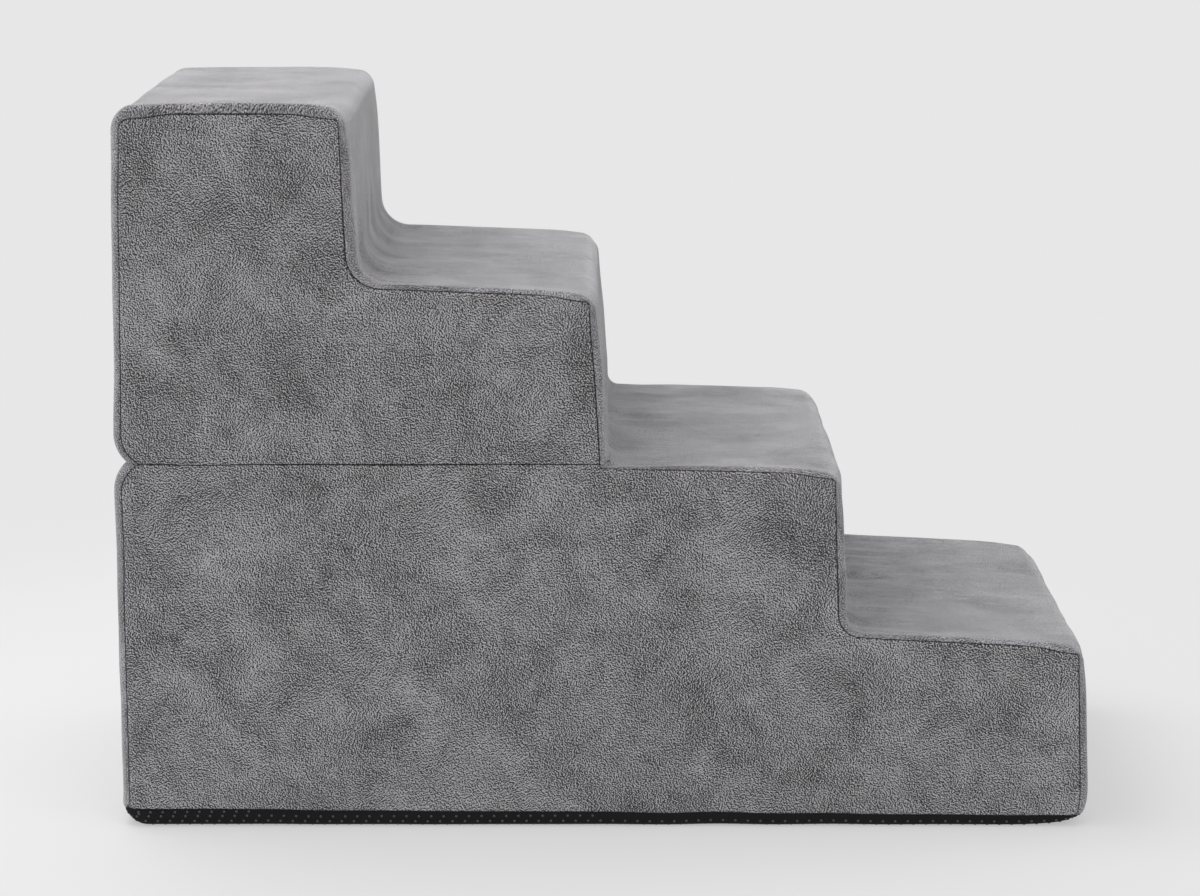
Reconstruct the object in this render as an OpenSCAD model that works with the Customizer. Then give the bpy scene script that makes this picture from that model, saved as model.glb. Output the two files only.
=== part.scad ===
// Four-step foam pet stairs in two covered modules.
// X runs from the back towards the lowest step, Y across the treads, Z up.
// The origin is the middle of the underside.

/* [Steps] */
// Width across the treads
stairs_w = 381; // [280:1:520]
// Depth of one step, riser to riser
step_run = 193.5; // [150:0.5:260]
// Height of one step
step_rise = 143.25; // [115:0.25:180]
// How far each riser stands off its even place, lowest first
riser_shifts = [0, -1.3, 2.6, -0.4]; // [-5:0.1:5]
// How far each riser leans back over its height, lowest first
riser_leans = [5.1, 4.8, 8.5, 5.6]; // [0:0.1:12]
// How far each nosing stands above its even height, lowest first
nosing_lifts = [5, 2.4, -0.5, 0]; // [-6:0.1:8]
// How far each tread falls from its riser to its nosing, lowest first
tread_falls = [9.7, 4.3, 7, 0.2]; // [0:0.1:14]
// How far the back leans in at the top
back_lean = 4.2; // [0:0.1:12]
// Height of the parting plane above the second nosing
parting_lift = 5.6; // [4:0.1:12]

/* [Rounding] */
// Radius between the treads and the side faces
tread_edge_r = 6; // [4:0.5:14]
// Radius between the risers and the side faces
riser_edge_r = 14.5; // [10:0.5:20]
// Radius of the nosings
nose_r = 14.5; // [8:0.5:22]
// Radius of the top edge at the back
top_r = 18; // [8:0.5:28]
// Radius of the nosings where the side seam turns them
seam_nose_r = 2; // [1:0.5:5]
// Radii of the hollows behind treads one and three
hollow_rs = [15, 25]; // [8:0.5:32]
// Radius of the underside edge
base_r = 17; // [15:0.5:22]
// Radius of the lower corners seen from the side, back and front
base_corner_rs = [20, 15]; // [10:0.5:28]

/* [Rear notch] */
// Depth of the notch between the modules
notch_depth = 11; // [6:0.5:18]
// Height of each lip above and below the notch
lip_h = 23; // [15:0.5:32]

/* [Cover] */
// Thickness of the plush cover fabric
cover_t = 2; // [1.2:0.1:3]
// Angle round the edge at which the side seam follows a tread
tread_seam_a = 51; // [20:1:70]
// Angle round the edge at which the side seam follows a riser
riser_seam_a = 58; // [40:1:75]
// Height of the base fabric's seam at the back
base_seam_back = 15; // [9:0.5:15]
// Height of the base fabric's seam at the front
base_seam_front = 9.5; // [7:0.5:15]
// Thickness of the lining on the two parting faces
lining_t = 0.8; // [0.5:0.1:1.5]
// Thickness of one hook or loop pad
pad_t = 1.6; // [1:0.1:2.5]
// Length of one pad, across the stairs
pad_l = 80; // [30:1:110]
// Width of one pad
pad_w = 30; // [15:1:50]
// Distance of the pads from the back
pad_back = 42; // [32:1:80]
// Distance of each pad's middle from the side face
pad_in = 85.5; // [65:0.5:95]

/* [Fold] */
// Radius of the hinge fabric between the third riser and the second tread
hinge_r = 8; // [5:0.5:12]
// Radius of the hinge fabric at the side seam
hinge_seam_r = 2.2; // [1:0.1:3]

/* [Zips] */
// Distance from each end of a zip to the side face
zip_in = 30.5; // [20:0.5:90]
// Height of each zip opening
zip_h = 11; // [10:0.5:16]
// Height of each zip above the underside of its module
zip_up = 42; // [38:1:80]
// Width of one zip tape
tape_w = 12; // [9:0.5:16]
// Thickness of the zip tape
tape_t = 0.6; // [0.4:0.1:1]
// Distance from tooth to tooth
tooth_pitch = 4; // [3:0.5:6]
// Width of one row of teeth
tooth_w = 2.6; // [1.6:0.1:3]
// Thickness of the teeth
tooth_t = 1.4; // [0.8:0.1:1.6]
// Length of the slider
slider_l = 12; // [9:0.5:16]
// Length of the pull tab beyond its pin
pull_l = 24; // [15:1:40]
// Width of the pull tab
pull_w = 7; // [5:0.5:9]
// Diameter of the pull tab's pin
pull_pin_d = 1.2; // [0.8:0.1:1.6]

/* [Hidden] */
$fn = 48;

// Clearance between soft pieces that lie against each other
soft_gap = 0.3;
// Gap between each half of the hinge fabric and the strip that it runs on from
hinge_gap = 0.5;
// Gap between the two modules along the sides
parting_gap = 0.6;
// Rounding of the side panels where they meet at the parting
parting_r = 1.5;
// Angle round that rounding at which the side panels' seam lies
parting_a = 30;
// How far the seam runs on past the notch for each unit of its inset
notch_run_share = 1.4;
// Sweep of each lip's curve
lip_a = 50;
// Share of the seam angle that each side of a seam stops short
seam_stop_share = 0.03;
// Shares of the seam angle at which the cover is measured out
turn_shares = [1 - seam_stop_share, 0.68, 0.34, 0];
// Shares of the way from the seam to the flat of the side
side_shares = [1, 0.62, 0.3, seam_stop_share];
// Least share of a lowest corner's bend on either side of the base fabric's seam
corner_share = 0.2;
// Share of the hinge fabric's bend at which each leaf ends
leaf_share = 0.485;
// Radius of the foam's small step under the parting
foam_step_r = 0.3;
// Cut across the lining's corners
lining_cut = 13;
// Gap between a hook pad and its loop pad
pad_gap = 0.3;
// Corner cut of the pads
pad_cut = 3;
// Smallest radius a rounding keeps on its inner face
small_r = 0.6;
// Points round each corner, less one
bend_n = 5;
// Points round the small corners, less one
small_n = 2;
// Half of the width, and the places of the back face and of the front
half_w = stairs_w / 2;
back_x = -2 * step_run;
// Length of each zip opening, and the place of the pads
zip_l = stairs_w - 2 * zip_in;
pad_y = half_w - pad_in;
// Depth of the foam's surface under the cover's outside
foam_s = cover_t + soft_gap;
// Distance of each lining's outer face from the parting plane, and of each foam block
lining_in = pad_t + pad_gap / 2;
foam_part = lining_in + lining_t + soft_gap;

function riser_foot(k) = 2 * step_run - (k - 1) * step_run + riser_shifts[k - 1];
function riser_head(k) = riser_foot(k) - riser_leans[k - 1];
function nose_z(k) = k * step_rise + nosing_lifts[k - 1];
function hollow_z(k) = nose_z(k) + tread_falls[k - 1];
parting_z = nose_z(2) + parting_lift;

// Corners of the outline seen from the near side, each face carried on to a sharp edge
foot_back = [back_x, 0];
foot_front = [riser_foot(1), 0];
nose_1 = [riser_head(1), nose_z(1)];
hollow_1 = [riser_foot(2), hollow_z(1)];
nose_2 = [riser_head(2), nose_z(2)];
hollow_2 = [riser_foot(3), hollow_z(2)];
nose_3 = [riser_head(3), nose_z(3)];
hollow_3 = [riser_foot(4), hollow_z(3)];
nose_4 = [riser_head(4), nose_z(4)];
top_back = [back_x + back_lean, hollow_z(4)];
parting_back = [back_x, parting_z];
parting_front = at_z(hollow_2, nose_3, 0, parting_z);

function heading(a, b) = (b - a) / norm(b - a);
function inwards(u) = [-u[1], u[0]];
function turned(p, a) = [p[0] * cos(a) - p[1] * sin(a), p[0] * sin(a) + p[1] * cos(a)];
function mix(a, b, f) = a + (b - a) * f;
function arc_in(r, s, a) = s + (r - s) * (1 - cos(a));
function arc_side(r, s, a) = half_w - s - (r - s) * (1 - sin(a));

// Point at height z on the edge a-b moved inwards by d
function at_z(a, b, d, z) =
  let (p = a + inwards(heading(a, b)) * d, u = heading(a, b))
  p + u * ((z - p[1]) / u[1]);

// Where edges a-b and b-c cross once they are moved inwards by da and dc
function inset_corner(a, b, c, da, dc) =
  let (
    u = heading(a, b),
    v = heading(b, c),
    p = b + inwards(u) * da,
    q = b + inwards(v) * dc
  )
  p + u * (((q - p)[0] * v[1] - (q - p)[1] * v[0]) / (u[0] * v[1] - u[1] * v[0]));

// Rounded corner in three dimensions: shares of the arc from f0 to f1
function bend(a, b, c, da, dc, ya, yc, r, n, f0 = 0, f1 = 1) =
  let (
    u = heading(a, b),
    v = heading(b, c),
    k = sign(u[0] * v[1] - u[1] * v[0]),
    sweep = k * acos(u * v),
    start = inset_corner(a, b, c, da, dc) - u * r * tan(abs(sweep) / 2),
    centre = start + inwards(u) * k * r
  )
  [for (i = [0:n])
    let (f = mix(f0, f1, i / n), p = centre + turned(start - centre, sweep * f))
    [p[0], mix(ya, yc, f), p[1]]];

// Lip of the rear notch from the back face to the parting, up = 1 above it and -1 below
function lip(up, d, g, yr, yp) =
  let (reach = (notch_depth + (notch_run_share - 1) * d) / (1 - cos(lip_a)))
  [for (i = [0:bend_n])
    let (
      a = lip_a * i / bend_n,
      rise = g + (lip_h - g) * (1 - sin(a) / sin(lip_a)),
      z = parting_z + up * rise
    )
    [back_at(z) + d + reach * (1 - cos(a)), mix(yr, yp, i / bend_n), z]];
function back_at(z) = back_x + back_lean * max(0, z - parting_z) / (hollow_z(4) - parting_z);
function backwards(v) = [for (i = [len(v) - 1:-1:0]) v[i]];

// A section through the cover or the foam, taken round the edge:
// [tread angle, riser angle, base angle back, base angle front, depth, parting inset,
//  parting side place, share of the way to the seam]
base_seam_a_back = acos(1 - base_seam_back / base_r);
base_seam_a_front = acos(1 - base_seam_front / base_r);
function cover_section(f, s) =
  [f * tread_seam_a, f * riser_seam_a, f * base_seam_a_back, f * base_seam_a_front, s,
   parting_gap / 2, arc_side(riser_edge_r, s, f * riser_seam_a), f];
function side_section(f, s) =
  let (a = mix(parting_a, 90, f))
  [mix(tread_seam_a, 90, f), mix(riser_seam_a, 90, f), mix(base_seam_a_back, 90, f),
   mix(base_seam_a_front, 90, f), s, parting_gap / 2 + parting_r * (cos(parting_a) - cos(a)),
   half_w - s - parting_r * (1 - sin(a)), 1];
function foam_section(a) =
  [a, a, a, a, foam_s, foam_part, arc_side(riser_edge_r, foam_s, a), a / 90];

function tread_in(q) = arc_in(tread_edge_r, q[4], q[0]);
function riser_in(q) = arc_in(riser_edge_r, q[4], q[1]);
function tread_y(q) = arc_side(tread_edge_r, q[4], q[0]);
function riser_y(q) = arc_side(riser_edge_r, q[4], q[1]);
function rounded(r, q) = max(mix(r, seam_nose_r, q[7]) - q[4], small_r);
function hollow(r, q) = r + tread_in(q);
function nose_bend(a, b, c, q) =
  bend(a, b, c, riser_in(q), tread_in(q), riser_y(q), tread_y(q), rounded(nose_r, q), bend_n);
function hollow_bend(a, b, c, r, q) =
  bend(a, b, c, tread_in(q), riser_in(q), tread_y(q), riser_y(q), hollow(r, q), bend_n);

// Lowest corners of the outline, lifted to the underside's rounding
function base_back(q) = foot_back + [0, arc_in(base_r, q[4], q[2])];
function base_front(q) = at_z(foot_front, nose_1, 0, arc_in(base_r, q[4], q[3]));
function back_base_bend(q, n = bend_n, f0 = 0, f1 = 1) =
  bend(parting_back, base_back(q), base_front(q), riser_in(q), 0, riser_y(q),
    arc_side(base_r, q[4], q[2]), rounded(base_corner_rs[0], q), n, f0, f1);
function front_base_bend(q, n = bend_n, f0 = 0, f1 = 1) =
  bend(base_back(q), base_front(q), nose_1, 0, riser_in(q), arc_side(base_r, q[4], q[3]),
    riser_y(q), rounded(base_corner_rs[1], q), n, f0, f1);
function base_bends(q) = concat(back_base_bend(q), front_base_bend(q));
// Share of a lowest corner's bend above the base fabric's seam, which side is -1 and 1 of
function seam_share(r, a, seam_z, f, side) =
  let (
    corner_r = mix(r, seam_nose_r, f),
    over = (base_r * (1 - cos(a)) + corner_r - seam_z) / corner_r
  )
  min(max(asin(min(over, 1)) / 90, corner_share), 1 - corner_share)
    + side * soft_gap / (2 * corner_r);
function back_share(q, side) =
  seam_share(base_corner_rs[0], q[2], base_seam_back, q[7], side);
function front_share(q, side) =
  1 - seam_share(base_corner_rs[1], q[3], base_seam_front, q[7], side);
function lower_bends(q) = concat(
  nose_bend(foot_front, nose_1, hollow_1, q),
  hollow_bend(nose_1, hollow_1, nose_2, hollow_rs[0], q),
  nose_bend(hollow_1, nose_2, hollow_2, q)
);
function upper_bends(q) = concat(
  nose_bend(hollow_2, nose_3, hollow_3, q),
  hollow_bend(nose_3, hollow_3, nose_4, hollow_rs[1], q),
  nose_bend(hollow_3, nose_4, top_back, q),
  bend(nose_4, top_back, parting_back, tread_in(q), riser_in(q), tread_y(q), riser_y(q),
    rounded(top_r, q), bend_n)
);
function lower_lip(q) = backwards(lip(-1, riser_in(q), q[5], riser_y(q), q[6]));
function upper_lip(q) = lip(1, riser_in(q), q[5], riser_y(q), q[6]);
function hinge_bend(q, f0 = 0, f1 = 1) =
  bend(nose_2, hollow_2, nose_3, tread_in(q), riser_in(q), tread_y(q), riser_y(q),
    mix(hinge_r, hinge_seam_r, q[7]) + q[4], small_n, f0, f1);
// Ends of the strips where the hinge fabric takes over
function tread_end(q) =
  let (u = heading(hollow_2, nose_2) * hinge_gap)
  hinge_bend(q)[0] + [u[0], 0, u[1]];
function riser_end(q) =
  let (u = heading(hollow_2, nose_3) * hinge_gap)
  hinge_bend(q)[small_n] + [u[0], 0, u[1]];

// Whole outlines, used by the side panels and the foam
function lower_ring(q, step_r, groove = []) = concat(
  base_bends(q),
  lower_bends(q),
  bend(nose_2, hollow_2, nose_3, tread_in(q), riser_in(q), tread_y(q), riser_y(q), step_r, small_n),
  bend(hollow_2, parting_front, parting_back, riser_in(q), q[5], riser_y(q), q[6], foam_step_r, 1),
  lower_lip(q),
  groove
);
function upper_ring(q, groove = []) = concat(
  bend(parting_back, parting_front, nose_3, q[5], riser_in(q), q[6], riser_y(q), small_r, 1),
  upper_bends(q),
  groove,
  upper_lip(q)
);

// Shell from matching outer and inner grids of points, with one cell left open if asked
module shell(outer, inner, open_row = -1, open_col = -1) {
  rows = len(outer);
  cols = len(outer[0]);
  size = rows * cols;
  flat = function (grid) [for (row = grid) for (p = row) p];
  at = function (i, j) i * cols + j;
  cells = [
    for (i = [0:rows - 2])
      for (j = [0:cols - 2])
        if (i != open_row || j != open_col) [at(i, j), at(i + 1, j), at(i + 1, j + 1), at(i, j + 1)]
  ];
  rim = concat(
    [for (i = [0:rows - 2]) [at(i, 0), at(i + 1, 0)]],
    [for (j = [0:cols - 2]) [at(rows - 1, j), at(rows - 1, j + 1)]],
    [for (i = [rows - 2:-1:0]) [at(i + 1, cols - 1), at(i, cols - 1)]],
    [for (j = [cols - 2:-1:0]) [at(0, j + 1), at(0, j)]]
  );
  hole = open_row < 0 ? [] : [
    [at(open_row + 1, open_col), at(open_row, open_col)],
    [at(open_row + 1, open_col + 1), at(open_row + 1, open_col)],
    [at(open_row, open_col + 1), at(open_row + 1, open_col + 1)],
    [at(open_row, open_col), at(open_row, open_col + 1)]
  ];
  polyhedron(
    points = concat(flat(outer), flat(inner)),
    faces = concat(
      [for (c = cells) [c[0], c[1], c[2]]],
      [for (c = cells) [c[0], c[2], c[3]]],
      [for (c = cells) [size + c[2], size + c[1], size + c[0]]],
      [for (c = cells) [size + c[3], size + c[2], size + c[0]]],
      [for (e = concat(rim, hole)) [e[1], e[0], size + e[0]]],
      [for (e = concat(rim, hole)) [e[1], size + e[0], size + e[1]]]
    )
  );
}

// Twice the area of the triangle a-b-c seen from the near side, above zero when it turns left
function turn(a, b, c) = (b[0] - a[0]) * (c[2] - a[2]) - (b[2] - a[2]) * (c[0] - a[0]);
function inside(p, a, b, c) = turn(a, b, p) >= 0 && turn(b, c, p) >= 0 && turn(c, a, p) >= 0;
// Length of the cut that takes corner i off the outline v, or undef where it can't be taken
function cut_length(v, p, i) =
  let (
    n = len(v),
    a = v[(i + n - 1) % n],
    b = v[i],
    c = v[(i + 1) % n],
    inner = [for (k = v) if (k != a && k != b && k != c && inside(p[k], p[a], p[b], p[c])) k]
  )
  turn(p[a], p[b], p[c]) > 0 && len(inner) == 0 ? norm(p[a] - p[c]) : undef;
// Triangles that fill a flat outline, the shortest cuts first
function filled(v, p) =
  len(v) == 3 ? [v] :
  let (
    n = len(v),
    cuts = [for (i = [0:n - 1]) cut_length(v, p, i)],
    shortest = min([for (c = cuts) if (!is_undef(c)) c]),
    i = [for (k = [0:n - 1]) if (cuts[k] == shortest) k][0]
  )
  concat(
    [[v[(i + n - 1) % n], v[i], v[(i + 1) % n]]],
    filled([for (k = [0:n - 1]) if (k != i) v[k]], p)
  );

// Solid from rings of points, the first and the last closed with a flat face
module loft(rings) {
  n = len(rings[0]);
  last = (len(rings) - 1) * n;
  quads = [
    for (k = [0:len(rings) - 2])
      for (i = [0:n - 1])
        [k * n + i, k * n + (i + 1) % n, (k + 1) * n + (i + 1) % n, (k + 1) * n + i]
  ];
  all_points = [for (ring = rings) for (p = ring) p];
  first_cap = filled([for (i = [0:n - 1]) i], all_points);
  last_cap = filled([for (i = [0:n - 1]) last + i], all_points);
  polyhedron(
    points = all_points,
    faces = concat(
      [for (c = first_cap) [c[2], c[1], c[0]]],
      [for (c = quads) [c[0], c[1], c[2]]],
      [for (c = quads) [c[0], c[2], c[3]]],
      last_cap
    )
  );
}

function near(ring) = [for (p = ring) [p[0], -p[1], p[2]]];
// Rows of a strip: each way round the path, across from the near seam to the far one
function across(near_to_mid, spread) =
  [for (i = [0:len(near_to_mid[0]) - 1])
    let (half = [for (path = near_to_mid) path[i]], p = half[len(half) - 1])
    concat(near(half), [for (y = spread) [p[0], y, p[2]]], backwards(half))];
function strip(path, s, spread = []) = across([for (f = turn_shares) path(cover_section(f, s))], spread);
window_spread = [-zip_l / 2, zip_l / 2];
// Column of a strip's grid at which a zip opening lies
window_col = len(turn_shares);

lower_zip_z = zip_up;
upper_zip_z = parting_z + zip_up;
function back_point(z, q) = [back_at(z) + riser_in(q), riser_y(q), z];
function window_rows(z, q) = [back_point(z + zip_h / 2, q), back_point(z - zip_h / 2, q)];

lower_path = function (q) concat(
  front_base_bend(q, small_n, front_share(q, -1), 1),
  lower_bends(q),
  [tread_end(q)]
);
upper_path = function (q) concat(
  [riser_end(q)],
  upper_bends(q),
  window_rows(upper_zip_z, q),
  upper_lip(q)
);
back_path = function (q) concat(
  lower_lip(q),
  window_rows(lower_zip_z, q),
  back_base_bend(q, small_n, 0, back_share(q, -1))
);
base_path = function (q) concat(
  back_base_bend(q, bend_n, back_share(q, 1), 1),
  front_base_bend(q, bend_n, 0, front_share(q, 1))
);

module cover_strip(path, spread = [], open_row = -1) {
  shell(strip(path, 0, spread), strip(path, cover_t, spread), open_row, window_col);
}
module side_panel(ring) {
  outer = [for (f = side_shares) ring(side_section(f, 0))];
  inner = [for (f = side_shares) ring(side_section(f, cover_t))];
  loft(concat(inner, backwards(outer)));
}

// Foam block with both side edges cut back under the cover's rounding
module foam(ring) {
  loft(concat(
    [for (a = [90, 0]) near(ring(foam_section(a)))],
    [for (a = [0, 90]) ring(foam_section(a))]
  ));
}
// Groove across the back of the foam for a zip's tapes and slider
function groove_points(z, q) =
  let (x = back_at(z) + riser_in(q), h = tooth_in + tape_w + soft_gap)
  [for (p = [[0, h], [groove_depth, h], [groove_depth, -h], [0, -h]])
    [x + p[0], riser_y(q), z + p[1]]];

// Sheet in plan with its corners cut
module cut_sheet(x0, x1, y0, y1, cut, t) {
  linear_extrude(t)
    polygon([
      [x0 + cut, y0], [x1 - cut, y0], [x1, y0 + cut], [x1, y1 - cut],
      [x1 - cut, y1], [x0 + cut, y1], [x0, y1 - cut], [x0, y0 + cut]
    ]);
}
lining_y = half_w - cover_t - parting_r - soft_gap;
lining_x0 = back_x + notch_depth + notch_run_share * cover_t + soft_gap;
lining_x1 = hollow_2[0] - cover_t - soft_gap;
module lining() {
  cut_sheet(lining_x0, lining_x1, -lining_y, lining_y, lining_cut, lining_t);
}
module pads() {
  for (side = [-1, 1])
    cut_sheet(back_x + pad_back, back_x + pad_back + pad_w,
      side * pad_y - pad_l / 2, side * pad_y + pad_l / 2, pad_cut, pad_t);
}

// Half of the hinge fabric between the shares f0 and f1 of its bend
module hinge_leaf(f0, f1) {
  leaf = function (q) hinge_bend(q, f0, f1);
  cover_strip(leaf);
}

// Zips, drawn lying flat: X along the zip, Y up the back, Z out of the cover

// Thickness of the slider's web and of its two plates
web_t = 0.8;
plate_t = 1.2;
// Distance of the teeth and the tapes from the middle of the zip
tooth_in = web_t / 2 + soft_gap;
// Height of the tapes' outer face from the cover's outside
tape_z = -cover_t - soft_gap;
// How far each tape runs on past the opening
tape_over = 6;
// Length of an end stop and the room kept for it at each end
end_stop_l = 2.5;
end_stop_in = 4;
// Length of the rows of teeth
row_l = zip_l - 2 * end_stop_in;
// Share of the pitch that a tooth fills, and share of the row's width that is its cord
tooth_share = 0.6;
cord_share = 0.45;
// Slider: flange, half width, corner cut, and heights of its upper and lower plates
flange_t = 0.9;
slider_half_w = tooth_in + tooth_w + soft_gap + flange_t;
slider_cut = 2;
plate_z = tape_z + tooth_t + soft_gap;
plate_top = plate_z + plate_t;
under_z = tape_z - tape_t - soft_gap;
// Depth of the groove that the foam keeps for the slider
groove_depth = plate_t + soft_gap - under_z - foam_s;
// Pull tab: eye round the pin, its half width, and the height of the pin
eye_r = 1.7;
eye_half_w = 1.8;
pin_z = plate_top + soft_gap + eye_r;
// Lugs that hold the pin
lug_t = 1.2;
lug_half_l = 2.2;
// Clearance between the pin and the pull tab's eye
bore_gap = 0.25;
// Pull tab: thickness, neck, shoulders, cut corners and hole
pull_t = 1.2;
pull_neck = 3;
pull_shoulder = 2;
pull_end_cut = 2;
pull_hole_d = 3;
// Place of each slider's middle when its zip is closed, measured from the middle of the zip
slider_x = -(zip_l / 2 - end_stop_in - slider_l / 2 - soft_gap);

module zip_tapes() {
  for (side = [0, 1])
    mirror([0, side, 0])
      translate([-zip_l / 2 - tape_over, tooth_in, tape_z - tape_t])
        cube([zip_l + 2 * tape_over, tape_w, tape_t]);
}
// Row of teeth on a cord, as one comb
module tooth_row(start) {
  count = floor(row_l / tooth_pitch) - 1;
  edge = [
    for (i = [0:count - 1])
      for (p = [[0, 1], [0, 0], [tooth_share, 0], [tooth_share, 1]])
        [start + (i + p[0]) * tooth_pitch, tooth_in + p[1] * tooth_w * (1 - cord_share)]
  ];
  linear_extrude(tooth_t)
    polygon(concat(
      [[start - tooth_pitch / 4, tooth_in + tooth_w], [start - tooth_pitch / 4, edge[0][1]]],
      edge,
      [[start + count * tooth_pitch, edge[0][1]], [start + count * tooth_pitch, tooth_in + tooth_w]]
    ));
}
module zip_teeth() {
  translate([0, 0, tape_z]) {
    tooth_row(-row_l / 2 + tooth_pitch / 2);
    mirror([0, 1, 0]) tooth_row(-row_l / 2 + tooth_pitch);
  }
}
module zip_stops() {
  for (side = [-1, 1])
    translate([side * (zip_l / 2 - end_stop_in / 2) - end_stop_l / 2, -tooth_in - tooth_w, tape_z])
      cube([end_stop_l, 2 * (tooth_in + tooth_w), tooth_t]);
}
module plate(half_l, half_w, cut, t) {
  linear_extrude(t)
    polygon([
      [-half_l + cut, -half_w], [half_l - cut, -half_w], [half_l, -half_w + cut],
      [half_l, half_w - cut], [half_l - cut, half_w], [-half_l + cut, half_w],
      [-half_l, half_w - cut], [-half_l, -half_w + cut]
    ]);
}
module pin(d, half_l) {
  translate([0, half_l, 0]) rotate([90, 0, 0]) cylinder(d = d, h = 2 * half_l);
}
module zip_slider() {
  flange_l = slider_l - 2 * slider_cut;
  translate([0, 0, plate_z]) plate(slider_l / 2, slider_half_w, slider_cut, plate_t);
  for (side = [0, 1])
    mirror([0, side, 0]) {
      translate([-flange_l / 2, slider_half_w - flange_t, tape_z + soft_gap])
        cube([flange_l, flange_t, plate_z - tape_z - soft_gap + plate_t / 2]);
      translate([-lug_half_l, eye_half_w + soft_gap, plate_top - plate_t / 2])
        cube([2 * lug_half_l, lug_t, pin_z + pull_pin_d - plate_top + plate_t / 2]);
    }
  translate([-flange_l / 2, -web_t / 2, under_z - plate_t / 2])
    cube([flange_l, web_t, plate_z - under_z + plate_t]);
  translate([0, 0, under_z - plate_t])
    plate(slider_l / 2, slider_half_w - flange_t, slider_cut, plate_t);
  translate([0, 0, pin_z]) pin(pull_pin_d, eye_half_w + soft_gap + lug_t / 2);
}
module zip_pull() {
  translate([0, 0, pin_z])
    difference() {
      union() {
        pin(2 * eye_r, eye_half_w);
        translate([0, 0, -pull_t / 2])
          linear_extrude(pull_t)
            polygon([
              [0, -eye_half_w], [pull_neck, -eye_half_w],
              [pull_neck + pull_shoulder, -pull_w / 2], [pull_l - pull_end_cut, -pull_w / 2],
              [pull_l, -pull_w / 2 + pull_end_cut], [pull_l, pull_w / 2 - pull_end_cut],
              [pull_l - pull_end_cut, pull_w / 2], [pull_neck + pull_shoulder, pull_w / 2],
              [pull_neck, eye_half_w], [0, eye_half_w]
            ]);
      }
      pin(pull_pin_d + 2 * bore_gap, eye_half_w + soft_gap);
      translate([pull_l - pull_w / 2, 0, -pull_t])
        cylinder(d = pull_hole_d, h = 2 * pull_t);
    }
}
// Stands a flat drawing on the back at height z
module on_back(z) {
  lean = z > parting_z ? atan(back_lean / (hollow_z(4) - parting_z)) : 0;
  translate([back_at(z), 0, z])
    rotate([0, lean, 0])
      rotate([90, 0, -90])
        children();
}

plush_side = [0.45, 0.45, 0.46];
plush_strip = [0.6, 0.6, 0.62];
foam_white = [0.93, 0.92, 0.88];
lining_grey = [0.36, 0.36, 0.38];
zip_grey = [0.3, 0.3, 0.32];
metal_grey = [0.62, 0.62, 0.64];

module base_panel() {
  color([0.11, 0.11, 0.12]) cover_strip(base_path);
}
module lower_foam_block() {
  color(foam_white)
    foam(function (q) lower_ring(q, foam_step_r, groove_points(lower_zip_z, q)));
}
lower_side = function (q) lower_ring(q, hinge_seam_r + q[4]);
module lower_near_side_panel() {
  color(plush_side) mirror([0, 1, 0]) side_panel(lower_side);
}
module lower_far_side_panel() {
  color(plush_side) side_panel(lower_side);
}
module lower_step_strip() {
  color(plush_strip) cover_strip(lower_path);
}
module lower_back_panel() {
  color(plush_strip) cover_strip(back_path, window_spread, bend_n + 1);
}
module lower_top_lining() {
  color(lining_grey) translate([0, 0, parting_z - lining_in - lining_t]) lining();
}
module loop_pads() {
  color(zip_grey) translate([0, 0, parting_z - lining_in]) pads();
}
module lower_hinge_leaf() {
  color(plush_strip) hinge_leaf(0, leaf_share);
}
module lower_zip_tapes() {
  color(zip_grey) on_back(lower_zip_z) zip_tapes();
}
module lower_zip_teeth() {
  color(metal_grey) on_back(lower_zip_z) zip_teeth();
}
module lower_zip_stops() {
  color(metal_grey) on_back(lower_zip_z) zip_stops();
}
module lower_zip_slider() {
  color(metal_grey) on_back(lower_zip_z) translate([slider_x, 0, 0]) zip_slider();
}
module lower_zip_pull() {
  color(metal_grey) on_back(lower_zip_z) translate([slider_x, 0, 0]) zip_pull();
}
module upper_foam_block() {
  color(foam_white)
    foam(function (q) upper_ring(q, groove_points(upper_zip_z, q)));
}
upper_side = function (q) upper_ring(q);
module upper_near_side_panel() {
  color(plush_side) mirror([0, 1, 0]) side_panel(upper_side);
}
module upper_far_side_panel() {
  color(plush_side) side_panel(upper_side);
}
module upper_step_strip() {
  color(plush_strip) cover_strip(upper_path, window_spread, 1 + 4 * (bend_n + 1));
}
module upper_underside_lining() {
  color(lining_grey) translate([0, 0, parting_z + lining_in]) lining();
}
module hook_pads() {
  color(zip_grey) translate([0, 0, parting_z + lining_in - pad_t]) pads();
}
module upper_hinge_leaf() {
  color(plush_strip) hinge_leaf(1 - leaf_share, 1);
}
module upper_zip_tapes() {
  color(zip_grey) on_back(upper_zip_z) zip_tapes();
}
module upper_zip_teeth() {
  color(metal_grey) on_back(upper_zip_z) zip_teeth();
}
module upper_zip_stops() {
  color(metal_grey) on_back(upper_zip_z) zip_stops();
}
module upper_zip_slider() {
  color(metal_grey) on_back(upper_zip_z) translate([slider_x, 0, 0]) zip_slider();
}
module upper_zip_pull() {
  color(metal_grey) on_back(upper_zip_z) translate([slider_x, 0, 0]) zip_pull();
}

base_panel();
lower_foam_block();
lower_near_side_panel();
lower_far_side_panel();
lower_step_strip();
lower_back_panel();
lower_top_lining();
loop_pads();
lower_hinge_leaf();
lower_zip_tapes();
lower_zip_teeth();
lower_zip_stops();
lower_zip_slider();
lower_zip_pull();
upper_foam_block();
upper_near_side_panel();
upper_far_side_panel();
upper_step_strip();
upper_underside_lining();
hook_pads();
upper_hinge_leaf();
upper_zip_tapes();
upper_zip_teeth();
upper_zip_stops();
upper_zip_slider();
upper_zip_pull();
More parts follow.
